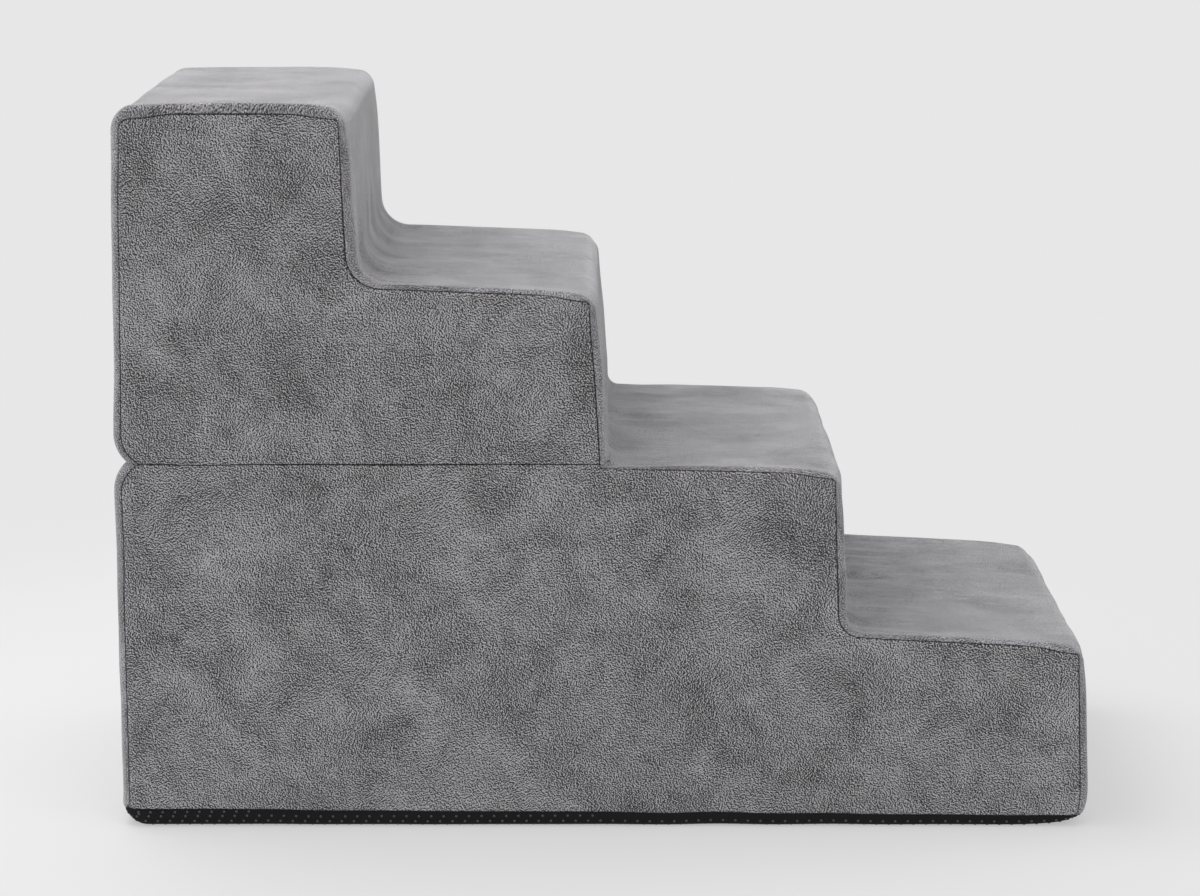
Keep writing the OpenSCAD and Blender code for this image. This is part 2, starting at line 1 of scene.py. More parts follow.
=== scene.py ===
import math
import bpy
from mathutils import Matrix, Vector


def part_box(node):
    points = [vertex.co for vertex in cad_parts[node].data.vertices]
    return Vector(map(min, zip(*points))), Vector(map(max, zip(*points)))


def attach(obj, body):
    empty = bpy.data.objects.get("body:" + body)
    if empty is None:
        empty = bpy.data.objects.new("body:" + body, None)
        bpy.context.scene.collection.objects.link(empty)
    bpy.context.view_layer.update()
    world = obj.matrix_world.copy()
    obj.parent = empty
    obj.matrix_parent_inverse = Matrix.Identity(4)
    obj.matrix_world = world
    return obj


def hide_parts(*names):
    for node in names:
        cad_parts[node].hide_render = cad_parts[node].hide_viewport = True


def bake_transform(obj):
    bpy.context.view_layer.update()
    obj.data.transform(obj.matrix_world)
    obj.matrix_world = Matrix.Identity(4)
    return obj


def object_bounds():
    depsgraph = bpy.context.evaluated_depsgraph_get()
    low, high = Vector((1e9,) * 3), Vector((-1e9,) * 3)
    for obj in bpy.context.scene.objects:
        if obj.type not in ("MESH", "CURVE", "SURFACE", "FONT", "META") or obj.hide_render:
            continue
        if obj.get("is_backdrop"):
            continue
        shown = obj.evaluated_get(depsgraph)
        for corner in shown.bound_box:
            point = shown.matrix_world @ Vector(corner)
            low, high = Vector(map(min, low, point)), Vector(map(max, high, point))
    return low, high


bl_info = {
    "name": "Folding foam pet stairs",
    "version": (1, 0, 0),
    "blender": (4, 5, 0),
    "location": "3D View > Sidebar > Pet Stairs",
    "description": "Builds the plush covers, foam, linings and zips of four-step foam pet stairs",
    "category": "Add Mesh",
}

from collections import namedtuple

import bmesh
import bpy
import numpy as np
from bpy.props import FloatProperty, FloatVectorProperty, IntProperty, PointerProperty
from mathutils import Vector
from mathutils.geometry import delaunay_2d_cdt

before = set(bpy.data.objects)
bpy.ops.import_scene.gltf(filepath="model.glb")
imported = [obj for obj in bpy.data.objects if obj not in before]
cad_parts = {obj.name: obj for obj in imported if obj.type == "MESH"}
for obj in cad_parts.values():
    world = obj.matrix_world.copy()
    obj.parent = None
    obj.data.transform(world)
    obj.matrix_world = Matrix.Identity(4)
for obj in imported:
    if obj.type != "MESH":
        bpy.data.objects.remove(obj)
CAD_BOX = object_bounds()
WIDTH = CAD_BOX[1].y - CAD_BOX[0].y
RUN = -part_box("base_panel")[0].x / 2


def length(name, description, default, size=1):
    if size == 1:
        return FloatProperty(name=name, description=description, default=default, unit="LENGTH", precision=5)
    kind = "XYZ" if size == 3 else "NONE"
    return FloatVectorProperty(
        name=name, description=description, default=default, size=size, subtype=kind, unit="LENGTH"
    )


def angle(name, description, degrees):
    return FloatProperty(name=name, description=description, default=math.radians(degrees), subtype="ANGLE")


def colour(name, description, default):
    return FloatVectorProperty(
        name=name, description=description, default=default, size=3, subtype="COLOR", min=0, max=1
    )


def amount(name, description, default, top=1.0):
    return FloatProperty(name=name, description=description, default=default, min=0, max=top)


class StairsForm(bpy.types.PropertyGroup):
    """Sizes of the stairs, the same as in the frame's source"""

    width: length("Width", "Width across the treads", WIDTH)
    step_run: length("Step depth", "Depth of one step, riser to riser", RUN)
    step_rise: length("Step height", "Height of one step", 0.14325)
    riser_shifts: length(
        "Riser shifts", "How far each riser stands off its even place", (0, -0.0013, 0.0026, -0.0004), 4
    )
    riser_leans: length(
        "Riser leans", "How far each riser leans back over its height", (0.0051, 0.0048, 0.0085, 0.0056), 4
    )
    nosing_lifts: length(
        "Nosing lifts", "How far each nosing stands above its even height", (0.005, 0.0024, -0.0005, 0), 4
    )
    tread_falls: length(
        "Tread falls", "How far each tread falls to its nosing", (0.0097, 0.0043, 0.007, 0.0002), 4
    )
    back_lean: length("Back lean", "How far the back leans in at the top", 0.0042)
    parting_lift: length("Parting lift", "Height of the parting above the second nosing", 0.0056)
    tread_edge_r: length("Tread edge radius", "Radius between the treads and the side faces", 0.006)
    riser_edge_r: length("Riser edge radius", "Radius between the risers and the side faces", 0.0145)
    nose_r: length("Nosing radius", "Radius of the nosings", 0.0145)
    top_r: length("Top radius", "Radius of the top edge at the back", 0.018)
    seam_nose_r: length("Seam corner radius", "Radius of the side seam at the nosings", 0.0035)
    seam_top_r: length("Seam radius at the top", "Radius of the side seam at the top edge at the back", 0.009)
    hollow_1_r: length("First hollow radius", "Radius of the hollow behind tread one", 0.015)
    hollow_3_r: length("Third hollow radius", "Radius of the hollow behind tread three", 0.025)
    hinge_r: length("Hinge radius", "Radius of the hinge fabric in its middle", 0.012)
    hinge_seam_r: length("Hinge seam radius", "Radius of the hinge fabric at the side seam", 0.0022)
    base_r: length("Underside radius", "Radius of the underside edge", 0.017)
    back_corner_r: length("Back corner radius", "Radius of the lower corner at the back", 0.02)
    front_corner_r: length("Front corner radius", "Radius of the lower corner at the front", 0.015)
    tuck_in: length("Tuck in", "How far the front's lowest edge is drawn in", 0.007)
    tuck_up: length("Tuck up", "How far the underside is drawn up at the front", 0.008)
    tuck_h: length("Tuck height", "Height of the part of the front that is drawn in", 0.034)
    tuck_l: length("Tuck length", "Length of the underside that is drawn up", 0.07)
    notch_depth: length("Notch depth", "Depth of the notch between the modules", 0.011)
    lip_h: length("Lip height", "Height of each lip beside the notch", 0.023)
    tread_turn_r: length("Tread turn", "Tightest radius of the cover between a tread and the side", 0.005)
    riser_turn_r: length("Riser turn", "Tightest radius of the cover between a riser and the side", 0.008)
    tread_seams: length(
        "Tread seams", "Height of the side seam under each tread, lowest first",
        (0.0022, 0.0022, 0.0022, 0.0045), 4,
    )
    nose_seams: length(
        "Nosing seams", "Height to which the seam drops before each nosing", (0.006, 0.006, 0.006, 0.008), 4
    )
    base_turn_r: length(
        "Underside turn", "Tightest radius of the base fabric between the underside and the side", 0.007
    )
    riser_seam: length("Riser seam", "Distance of the side seam from the face of a riser", 0.0068)
    seam_drop_l: length("Seam drop length", "Length before each nosing over which the seam drops", 0.034)
    base_seam_back: length("Base seam, back", "Height of the base fabric's seam at the back", 0.015)
    base_seam_front: length("Base seam, front", "Height of the base fabric's seam at the front", 0.0095)
    parting_gap: length("Parting gap", "Gap between the two modules along the sides", 0.0006)
    parting_r: length("Parting radius", "Rounding of the side panels at the parting", 0.0015)
    cover_t: length("Cover thickness", "Thickness of the plush cover fabric", 0.002)
    gap: length("Clearance", "Clearance between soft pieces", 0.0003)


class StairsFabric(bpy.types.PropertyGroup):
    """Feel of the covers: seams, folds and stitches"""

    seam_depth: length("Seam depth", "How deep the cover dips into a seam", 0.0011)
    seam_w: length("Seam width", "Half the width of the dip at a seam", 0.0007)
    sway: length("Seam sway", "How far the seams wander from their line", 0.0007)
    ridge_hs: length(
        "Near ridges", "Height of the soft ridge along the near side of each tread, lowest first",
        (0.0018, 0.0018, 0.0018, 0.0042), 4,
    )
    far_ridge_h: length("Far ridge", "Height of the soft ridge along the far side of a tread", 0.001)
    ridge_rise: length("Ridge rise", "Length of cover over which the ridge rises from the seam", 0.006)
    ridge_flat: length("Ridge top", "Length of cover from the seam to the end of the ridge's top", 0.012)
    ridge_fall: length("Ridge fall", "Length of cover over which the ridge falls to the tread", 0.018)
    corner_drop: length("Corner drop", "How far the corners of the nosings are drawn in", 0.0022)
    sag: length("Sag", "How far the middle of a tread sinks", 0.0016)
    wave: length("Wave", "Height of the slow waves in the covers", 0.0009)
    fold_h: length("Fold height", "Height of the folds that run through the hollows", 0.0024)
    cell: length("Mesh cell", "Size of the mesh cells on the large faces", 0.0055)
    stitch_pitch: length("Stitch pitch", "Distance from stitch to stitch", 0.0036)
    stitch_l: length("Stitch length", "Length of one stitch", 0.0026)
    stitch_t: length("Stitch thickness", "Thickness of the thread", 0.0007)
    dot_pitch: length("Dot pitch", "Distance from dot to dot on the base", 0.0098)
    dot_d: length("Dot diameter", "Diameter of one dot on the base", 0.0026)
    dot_h: length("Dot height", "Height of one dot on the base", 0.0006)
    seed: IntProperty(name="Seed", description="Seed of the waves and folds", default=11)


class StairsColours(bpy.types.PropertyGroup):
    """Colours of the finishes"""

    side: colour("Side plush", "Colour of the side covers", (0.205, 0.202, 0.208))
    strip: colour("Step plush", "Colour of the step and back covers", (0.222, 0.217, 0.23))
    base: colour("Base fabric", "Colour of the base fabric", (0.007, 0.0068, 0.008))
    dots: colour("Base dots", "Colour of the rubber dots", (0.06, 0.059, 0.063))
    thread: colour("Thread", "Colour of the sewing thread", (0.02, 0.02, 0.022))
    lining: colour("Lining", "Colour of the lining", (0.1, 0.1, 0.107))
    pads: colour("Hook and loop", "Colour of the hook and loop pads", (0.06, 0.06, 0.065))
    foam: colour("Foam", "Colour of the foam", (0.84, 0.82, 0.74))
    tape: colour("Zip tape", "Colour of the zip tape", (0.07, 0.07, 0.075))
    teeth: colour("Zip teeth", "Colour of the zip teeth", (0.09, 0.09, 0.095))
    metal: colour("Zip metal", "Colour of the sliders, pulls and stops", (0.55, 0.55, 0.57))


class StairsStage(bpy.types.PropertyGroup):
    """Floor, light and camera"""

    floor: colour("Floor", "Colour of the floor", (0.8, 0.8, 0.8))
    glow: colour("Backdrop", "Colour that the camera sees in the backdrop", (0.8, 0.8, 0.8))
    glow_share: amount("Backdrop share", "How much of the floor that the camera sees is backdrop", 0.52)
    sky: amount("Sky strength", "Strength of the even light from all round", 0.66, 4)
    key: amount("Key strength", "Power of the soft light above, in watts", 12.0, 100)
    key_place: length("Key place", "Place of the soft light above", (-0.56, 0.2, 1.4), 3)
    key_size: length("Key size", "Width of the soft light above", 1.1)
    fill: amount("Front strength", "Strength of the lights from the front", 0.42, 20)
    camera_place: length("Camera place", "Place of the camera", (-0.00409, -2.90924, 0.83054), 3)
    camera_pitch: angle("Camera pitch", "How far the camera looks down", 10.88)
    lens: FloatProperty(
        name="Lens", description="Focal length in millimetres", default=106.3, min=10, max=500
    )


# ---- shape of the covered blocks ----

Section = namedtuple("Section", "treads noses riser rear back front depth part_in part_y share")
QUARTER = math.pi / 2

# Rows of the paths along a nosing, hollow or lip, the hinge, a lower corner of a ring, and one of a cover
BEND, HINGE, CORNER, FOOT = 14, 10, 16, 8
# Rows between them: of a riser, an upper riser of the cover, a tread, the underside, a parting face, an opening
RISER, UPPER_RISER, TREAD, BASE, PARTING, OPENING = 24, 22, 44, 130, 110, 2

LEAST_R = 0.0006  # radius below which no edge is drawn
HINGE_END = 0.0025  # from the hinge's bend to the row where the strip is divided
LIP_SWEEP = math.radians(50)  # turn of each lip into the notch
RIM_START = math.radians(30)  # turn of a side cover's rim at the parting where it meets the lining
ZIP_Z = 0.042  # height of a zip over the floor or over the parting
ZIP_OPEN = 0.0055  # half the height of a zip's opening
ZIP_SEAM = 0.0085  # half the height of the seam round that opening
GROOVE_H, GROOVE_T = 0.0135, 0.0012  # half height and depth of the foam's groove behind a zip
FOAM_IN = 0.0034  # from the parting to the foam
FOAM_T = 0.0022  # from the covers' clearance to the foam


def mix(a, b, f):
    return a + (b - a) * f


def smooth(x):
    x = np.clip(x, 0, 1)
    return x * x * (3 - 2 * x)


def heading(a, b):
    return (b - a) / np.linalg.norm(b - a)


def inwards(u):
    return np.array((-u[1], u[0]))


def turned(p, a):
    c, s = math.cos(a), math.sin(a)
    return np.array((p[0] * c - p[1] * s, p[0] * s + p[1] * c))


def run_in(r, turn_r, seam_in):
    """Length of cover from where an edge's rounding starts to a seam that lies seam_in below the face"""
    if seam_in < turn_r:
        return r - turn_r + turn_r * math.acos(1 - seam_in / turn_r)
    return r - turn_r + turn_r * QUARTER + seam_in - turn_r


def profile(r, turn_r, s, p):
    """Depths below the face and below the side, at a length p of cover round a squared edge"""
    flat, arc = r - turn_r, turn_r * QUARTER
    if p <= flat:
        return s, max(r - p, s)
    if p <= flat + arc:
        a = (p - flat) / turn_r
        return s + (turn_r - s) * (1 - math.cos(a)), s + (turn_r - s) * (1 - math.sin(a))
    return turn_r + p - flat - arc, s


def at_z(a, b, z):
    return a + heading(a, b) * ((z - a[1]) / heading(a, b)[1])


class Block:
    """The outline of the stairs and the sections that run round their edges"""

    def __init__(self, form):
        self.form = form
        self.half_w = form.width / 2
        run, rise = form.step_run, form.step_rise
        foot = [2 * run - k * run + form.riser_shifts[k] for k in range(4)]
        head = [foot[k] - form.riser_leans[k] for k in range(4)]
        nose_z = [(k + 1) * rise + form.nosing_lifts[k] for k in range(4)]
        self.nose_z = nose_z
        hollow_z = [nose_z[k] + form.tread_falls[k] for k in range(4)]
        point = lambda x, z: np.array((x, z))
        self.back_x = -2 * run
        self.foot_back, self.foot_front = point(self.back_x, 0), point(foot[0], 0)
        self.nose = [point(head[k], nose_z[k]) for k in range(4)]
        self.hollow = [point(foot[k + 1], hollow_z[k]) for k in range(3)]
        self.top_z = hollow_z[3]
        self.top_back = point(self.back_x + form.back_lean, self.top_z)
        self.parting_z = nose_z[1] + form.parting_lift
        self.zip_z = {"lower": ZIP_Z, "upper": self.parting_z + ZIP_Z}
        self.parting_back = point(self.back_x, self.parting_z)
        self.parting_front = at_z(self.hollow[1], self.nose[2], self.parting_z)
        tread = lambda seam_in: run_in(form.tread_edge_r, form.tread_turn_r, seam_in)
        self.runs = (
            np.array([tread(v) for v in form.tread_seams]),
            np.array([tread(v) for v in form.nose_seams]),
            run_in(form.riser_edge_r, form.riser_turn_r, form.riser_seam),
            run_in(form.riser_edge_r, form.riser_edge_r, form.riser_seam),
            run_in(form.base_r, form.base_turn_r, form.base_seam_back),
            run_in(form.base_r, form.base_turn_r, form.base_seam_front),
        )
        rear = run_in(form.riser_edge_r, form.riser_edge_r, form.riser_edge_r)
        riser = run_in(form.riser_edge_r, form.riser_turn_r, form.riser_edge_r)
        base = run_in(form.base_r, form.base_turn_r, form.base_seam_back + form.base_turn_r)
        self.ends = tread(form.riser_edge_r), tread(form.riser_edge_r), riser, rear, base, base

    def cover(self, f):
        """A line along the strips and the base: f runs from their flats, 0, to the seam, 1"""
        m = self.form
        runs = [f * run for run in self.runs]
        rear_y = self.half_w - profile(m.riser_edge_r, m.riser_edge_r, 0.0, runs[3])[1]
        return Section(*runs, 0.0, m.parting_gap / 2, mix(rear_y, self.half_w - m.parting_r / 2, f), f)

    def side(self, f):
        """A line round a side cover: f runs from the seam, 0, to the flat of the side, 1"""
        m = self.form
        a = mix(RIM_START, QUARTER, f)
        runs = (mix(run, end, f) for run, end in zip(self.runs, self.ends))
        part_in = m.parting_gap / 2 + m.parting_r * (math.cos(RIM_START) - math.cos(a))
        return Section(*runs, 0.0, part_in, self.half_w - m.parting_r * (1 - math.sin(a)), 1)

    def foam(self, f, s, part_in):
        """A line round the foam: f runs from the strips' side, 0, to the flat of the side, 1"""
        m = self.form
        ends = [f * end for end in self.ends]
        ends[:2] = [np.full(4, ends[0])] * 2
        y = self.half_w - profile(m.riser_edge_r, m.riser_turn_r, s, ends[2])[1]
        return Section(*ends, s, part_in, y, f)

    def edge(self, turn_r, r, s, p):
        """How far a line lies below its face, and its place across the width"""
        below, side_in = profile(r, turn_r, s, p)
        return below, self.half_w - side_in

    def riser_edge(self, q):
        return self.edge(self.form.riser_turn_r, self.form.riser_edge_r, q.depth, q.riser)

    def rear_edge(self, q):
        return self.edge(self.form.riser_edge_r, self.form.riser_edge_r, q.depth, q.rear)

    def tread_edge(self, q, p):
        return self.edge(self.form.tread_turn_r, self.form.tread_edge_r, q.depth, p)

    def base_edge(self, q, p):
        return self.edge(self.form.base_turn_r, self.form.base_r, q.depth, p)

    def rounded(self, r, q, seam_r=None):
        return max(mix(r, seam_r or self.form.seam_nose_r, q.share ** 4) - q.depth, LEAST_R)

    def bend(self, corner, first, last, r, n=BEND, f0=0.0, f1=1.0):
        """An arc of radius r at the corner of two lines, given by three points. first and last hold how far
        each line lies below its face and its place across the width. f0 and f1 end the part drawn."""
        (a, b, c), (da, ya), (dc, yc) = corner, first, last
        u, v = heading(a, b), heading(b, c)
        cross = u[0] * v[1] - u[1] * v[0]
        k = math.copysign(1, cross)
        sweep = k * math.acos(float(u @ v))
        p, w = b + inwards(u) * da, b + inwards(v) * dc
        meet = p + u * (((w - p)[0] * v[1] - (w - p)[1] * v[0]) / cross)
        start = meet - u * r * math.tan(abs(sweep) / 2)
        centre = start + inwards(u) * k * r
        rows = []
        for f in np.linspace(f0, f1, n + 1):
            x, z = centre + turned(start - centre, sweep * f)
            rows.append((x, mix(ya, yc, f), z))
        return np.array(rows)

    def nose_bend(self, k, q):
        a = self.hollow[k - 1] if k else self.foot_front
        c = self.hollow[k] if k < 3 else self.top_back
        tread = self.tread_edge(q, q.noses[k])
        return self.bend((a, self.nose[k], c), self.riser_edge(q), tread, self.rounded(self.form.nose_r, q))

    def hollow_bend(self, k, r, q, n=BEND):
        tread = self.tread_edge(q, q.treads[k])
        corner = self.nose[k], self.hollow[k], self.nose[k + 1]
        return self.bend(corner, tread, self.riser_edge(q), r + tread[0], n)

    def hinge_bend(self, q):
        r = mix(self.form.hinge_r, self.form.hinge_seam_r, q.share) + q.depth
        return self.hollow_bend(1, r - self.tread_edge(q, q.treads[1])[0], q, HINGE)

    def hinge_rows(self, starts):
        """The first and the last row of the hinge fabric in the steps' path"""
        return starts[4], starts[5] - UPPER_RISER - 1

    def base_corners(self, q):
        low = self.foot_back + np.array((0, self.base_edge(q, q.back)[0]))
        return low, at_z(self.foot_front, self.nose[0], self.base_edge(q, q.front)[0])

    def back_base_bend(self, q, f0=0.0, f1=1.0, n=12):
        corner = self.parting_back, *self.base_corners(q)
        base, r = (0, self.base_edge(q, q.back)[1]), self.rounded(self.form.back_corner_r, q)
        return self.bend(corner, self.rear_edge(q), base, r, n, f0, f1)

    def front_base_bend(self, q, f0=0.0, f1=1.0, n=12):
        corner = *self.base_corners(q), self.nose[0]
        base, r = (0, self.base_edge(q, q.front)[1]), self.rounded(self.form.front_corner_r, q)
        return self.bend(corner, base, self.riser_edge(q), r, n, f0, f1)

    def seam_share(self, r, low, seam_z):
        """The share of a lower corner, from its upright end, at which a line passes the seam's height"""
        over = (low + r - seam_z) / r
        least, most = 0.2, 0.8
        return min(max(math.asin(min(max(over, 0), 1)) / QUARTER, least), most)

    def back_share(self, q):
        r = self.rounded(self.form.back_corner_r, q)
        return self.seam_share(r, self.base_edge(q, q.back)[0], self.form.base_seam_back)

    def front_share(self, q):
        r = self.rounded(self.form.front_corner_r, q)
        return 1 - self.seam_share(r, self.base_edge(q, q.front)[0], self.form.base_seam_front)

    def back_at(self, z):
        return self.back_x + self.form.back_lean * max(0, z - self.parting_z) / (self.top_z - self.parting_z)

    def lip(self, up, q):
        """From the back into the notch, above the parting for up 1 and below it for up -1"""
        (d, y), g = self.rear_edge(q), q.part_in
        reach = (self.form.notch_depth + 0.4 * d) / (1 - math.cos(LIP_SWEEP))
        rows = []
        for i in range(BEND + 1):
            a = LIP_SWEEP * i / BEND
            z = self.parting_z + up * (g + (self.form.lip_h - g) * (1 - math.sin(a) / math.sin(LIP_SWEEP)))
            rows.append((self.back_at(z) + d + reach * (1 - math.cos(a)), mix(y, q.part_y, i / BEND), z))
        return np.array(rows)

    def top_bend(self, q):
        corner = self.nose[3], self.top_back, self.parting_back
        r = self.rounded(self.form.top_r, q, self.form.seam_top_r)
        return self.bend(corner, self.tread_edge(q, q.noses[3]), self.rear_edge(q), r)

    def lower_steps(self, q):
        """The bends over the two lower steps"""
        return [self.nose_bend(0, q), self.hollow_bend(0, self.form.hollow_1_r, q), self.nose_bend(1, q)]

    def upper_steps(self, q):
        """The bends over the two upper steps, up to the back"""
        hollow = self.hollow_bend(2, self.form.hollow_3_r, q)
        return [self.nose_bend(2, q), hollow, self.nose_bend(3, q), self.top_bend(q)]

    def back_point(self, z, q):
        d, y = self.rear_edge(q)
        return np.array([(self.back_at(z) + d, y, z)])

    def opening(self, module, q):
        """The upper and the lower edge of a zip's opening"""
        return [self.back_point(self.zip_z[module] + up, q) for up in (ZIP_OPEN, -ZIP_OPEN)]

    def groove(self, module, q):
        """The foam's groove behind a zip"""
        x, y, z = self.back_point(self.zip_z[module], q)[0]
        corners = (0, GROOVE_H), (GROOVE_T, GROOVE_H), (GROOVE_T, -GROOVE_H), (0, -GROOVE_H)
        return np.array([(x + a, y, z + b) for a, b in corners])

    def tread_run(self, q, start, end, k):
        """Points between a nosing and its hollow, where the seam drops towards the nosing"""
        a = self.nose[k]
        b = self.hollow[k] if k < 3 else self.top_back
        u = heading(a, b)
        t0, t1 = (start[[0, 2]] - a) @ u, (end[[0, 2]] - a) @ u
        rows = []
        for f in np.linspace(0, 1, TREAD + 2)[1:-1]:
            t = mix(t0, t1, f)
            near = min(t - t0, t1 - t) if k == 3 else t - t0
            seam = mix(q.noses[k], q.treads[k], float(smooth(near / self.form.seam_drop_l)))
            d, y = self.tread_edge(q, seam)
            x, z = a + u * t + inwards(u) * d
            rows.append((x, y, z))
        return np.array(rows)

    def linked(self, q, legs, treads, steps):
        """Rows through the bends in order, with even runs between them, and where each bend starts.
        treads maps the place of a leg to the tread that follows it."""
        rows, starts = [legs[0]], [0]
        count = len(legs[0])
        for i in range(1, len(legs)):
            start, end = legs[i - 1][-1], legs[i][0]
            if i - 1 in treads:
                run = self.tread_run(q, start, end, treads[i - 1])
            else:
                shares = np.linspace(0, 1, steps[i - 1] + 2)[1:-1]
                run = np.array([mix(start, end, f) for f in shares]).reshape(-1, 3)
            starts.append(count + len(run))
            rows += [run, legs[i]]
            count += len(run) + len(legs[i])
        return np.vstack(rows), starts

    def closed(self, q, legs, treads, steps):
        """Rows through the bends in order and back to where they began"""
        legs.append(mix(legs[-1][-1], legs[0][0], 0.999)[None])
        return self.linked(q, legs, treads, steps)[0]

    def steps_path(self, q):
        """From the front of the base up the steps and down the back to the notch"""
        hinge = self.hinge_bend(q)
        u, v = (heading(self.hollow[1], self.nose[k]) * HINGE_END for k in (1, 2))
        legs = [
            self.front_base_bend(q, self.front_share(q), 1, FOOT),
            *self.lower_steps(q),
            np.vstack([hinge[:1] + (u[0], 0, u[1]), hinge, hinge[-1:] + (v[0], 0, v[1])]),
            *self.upper_steps(q),
            *self.opening("upper", q),
            self.lip(1, q),
        ]
        steps = [RISER, 0, RISER, 0, UPPER_RISER, 0, UPPER_RISER, 0, 34, OPENING, 2]
        return self.linked(q, legs, {1: 0, 3: 1, 5: 2, 7: 3}, steps)

    def back_path(self, q):
        """From the notch down the back to the base"""
        foot = self.back_base_bend(q, 0, self.back_share(q), FOOT)
        return self.linked(q, [self.lip(-1, q)[::-1], *self.opening("lower", q), foot], {}, [36, OPENING, 2])

    def base_path(self, q):
        """From the back to the front under the stairs"""
        back = self.back_base_bend(q, self.back_share(q), 1)
        return self.linked(q, [back, self.front_base_bend(q, 0, self.front_share(q))], {}, [BASE])

    def lower_ring(self, q, grooved=False):
        """Round the side of the lower module"""
        corner = self.hollow[1], self.parting_front, self.parting_back
        parting = q.part_in, q.part_y
        legs = [
            self.back_base_bend(q, 0, 1, CORNER),
            self.front_base_bend(q, 0, 1, CORNER),
            *self.lower_steps(q),
            self.hinge_bend(q),
            self.bend(corner, self.riser_edge(q), parting, LEAST_R / 2, 2),
            self.lip(-1, q)[::-1],
        ] + [self.groove("lower", q)] * grooved
        steps = [BASE, RISER, 0, RISER, 0, 0, PARTING] + [34] * grooved + [36]
        return self.closed(q, legs, {2: 0, 4: 1}, steps)

    def upper_ring(self, q, grooved=False):
        """Round the side of the upper module"""
        corner = self.parting_back, self.parting_front, self.nose[2]
        parting = q.part_in, q.part_y
        legs = [self.bend(corner, parting, self.riser_edge(q), LEAST_R, 2), *self.upper_steps(q)]
        legs += [self.groove("upper", q)] * grooved + [self.lip(1, q)]
        steps = [RISER, 0, RISER, 0, 38] + [6] * grooved + [PARTING]
        return self.closed(q, legs, {1: 2, 3: 3}, steps)


# ---- mesh making ----


def noise_2d(u, v, seed):
    """Smooth noise from -1 to 1, one wave for each unit of u and v"""
    table = np.random.default_rng(seed).uniform(-1, 1, (64, 64))
    i, j = np.floor(u).astype(int), np.floor(v).astype(int)
    a, b = smooth(u - i), smooth(v - j)
    at = lambda x, y: table[x % 64, y % 64]
    near = at(i, j) * (1 - b) + at(i, j + 1) * b
    far = at(i + 1, j) * (1 - b) + at(i + 1, j + 1) * b
    return near * (1 - a) + far * a


def tucked(points):
    """The points, with the front's lowest edge drawn in and up under the first step"""
    form = bpy.context.scene.stairs_form
    points = np.array(points, float)
    x, z = points[:, 0].copy(), points[:, 2].copy()
    front, fade = 2 * form.step_run, 0.03
    low = np.clip(1 - z / form.tuck_h, 0, 1) ** 2
    points[:, 0] -= form.tuck_in * low * smooth((x - front + fade) / fade)
    near = np.clip((x - front + form.tuck_l) / form.tuck_l, 0, 1) ** 3
    points[:, 2] += form.tuck_up * near * np.clip(1 - z / form.base_seam_front, 0, 1)
    return points


def placed(name, data):
    """A new object in the scene that holds the data"""
    made = bpy.data.objects.new(name, data)
    bpy.context.scene.collection.objects.link(made)
    return made


def new_piece(name, points, faces, finish, uv=None, seam=None):
    """A mesh object at the origin, with the cloth's UV map and the distance to its seams"""
    points = tucked(points)
    mesh = bpy.data.meshes.new(name)
    mesh.from_pydata([tuple(p) for p in points], [], [tuple(int(i) for i in f) for f in faces])
    mesh.polygons.foreach_set("use_smooth", [True] * len(mesh.polygons))
    if uv is not None:
        layer = mesh.uv_layers.new(name="cloth")
        corners = np.zeros(len(mesh.loops), int)
        mesh.loops.foreach_get("vertex_index", corners)
        layer.data.foreach_set("uv", np.asarray(uv, np.float32)[corners].ravel())
    if seam is not None:
        gaps = mesh.attributes.new("seam_gap", "FLOAT", "POINT")
        gaps.data.foreach_set("value", np.asarray(seam, np.float32))
    mesh.materials.append(finish)
    mesh.validate()
    used = np.zeros(len(mesh.edges), int)
    held = np.zeros(len(mesh.loops), int)
    mesh.loops.foreach_get("edge_index", held)
    np.add.at(used, held, 1)
    mesh.attributes.new("sharp_edge", "BOOLEAN", "EDGE").data.foreach_set("value", used == 1)
    return placed(name, mesh)


def thicken(piece, thickness):
    """Gives a cover its thickness, inwards"""
    solid = piece.modifiers.new("Cloth thickness", "SOLIDIFY")
    solid.thickness = thickness
    solid.offset = -1
    solid.use_even_offset = False
    solid.use_rim = True


def grid_faces(rows, cols, skip=lambda i, j: False):
    return [
        (i * cols + j, i * cols + j + 1, (i + 1) * cols + j + 1, (i + 1) * cols + j)
        for i in range(rows - 1)
        for j in range(cols - 1)
        if not skip(i, j)
    ]


def tube_faces(count, n, first=0):
    """Faces between closed rings of n points that follow one another"""
    return [
        (a + i, a + (i + 1) % n, a + n + (i + 1) % n, a + n + i)
        for a in range(first, first + (count - 1) * n, n)
        for i in range(n)
    ]


def faced(points, faces, axis, way):
    """The faces, turned so that their normals point along the axis for way 1 and against it for way -1"""
    a, b, c = (points[[f[k] for f in faces]] for k in range(3))
    facing = np.cross(b - a, c - a)[:, axis] * way
    return [f[::-1] if against else f for f, against in zip(faces, facing < 0)]


def grid_normals(points):
    """Unit normals of a grid of points, outwards"""
    du = np.gradient(points, axis=0)
    dv = np.gradient(points, axis=1)
    n = np.cross(dv, du)
    return n / np.maximum(np.linalg.norm(n, axis=2, keepdims=True), 1e-12)


def measures(points):
    """The cloth's length from a grid's first row to each row, and from its first column to each point"""
    line = points[:, points.shape[1] // 2][:, [0, 2]]
    along = np.concatenate([[0], np.cumsum(np.linalg.norm(np.diff(line, axis=0), axis=1))])
    wide = np.linalg.norm(np.diff(points, axis=1), axis=2)
    return along, np.concatenate([np.zeros((len(points), 1)), np.cumsum(wide, axis=1)], axis=1)


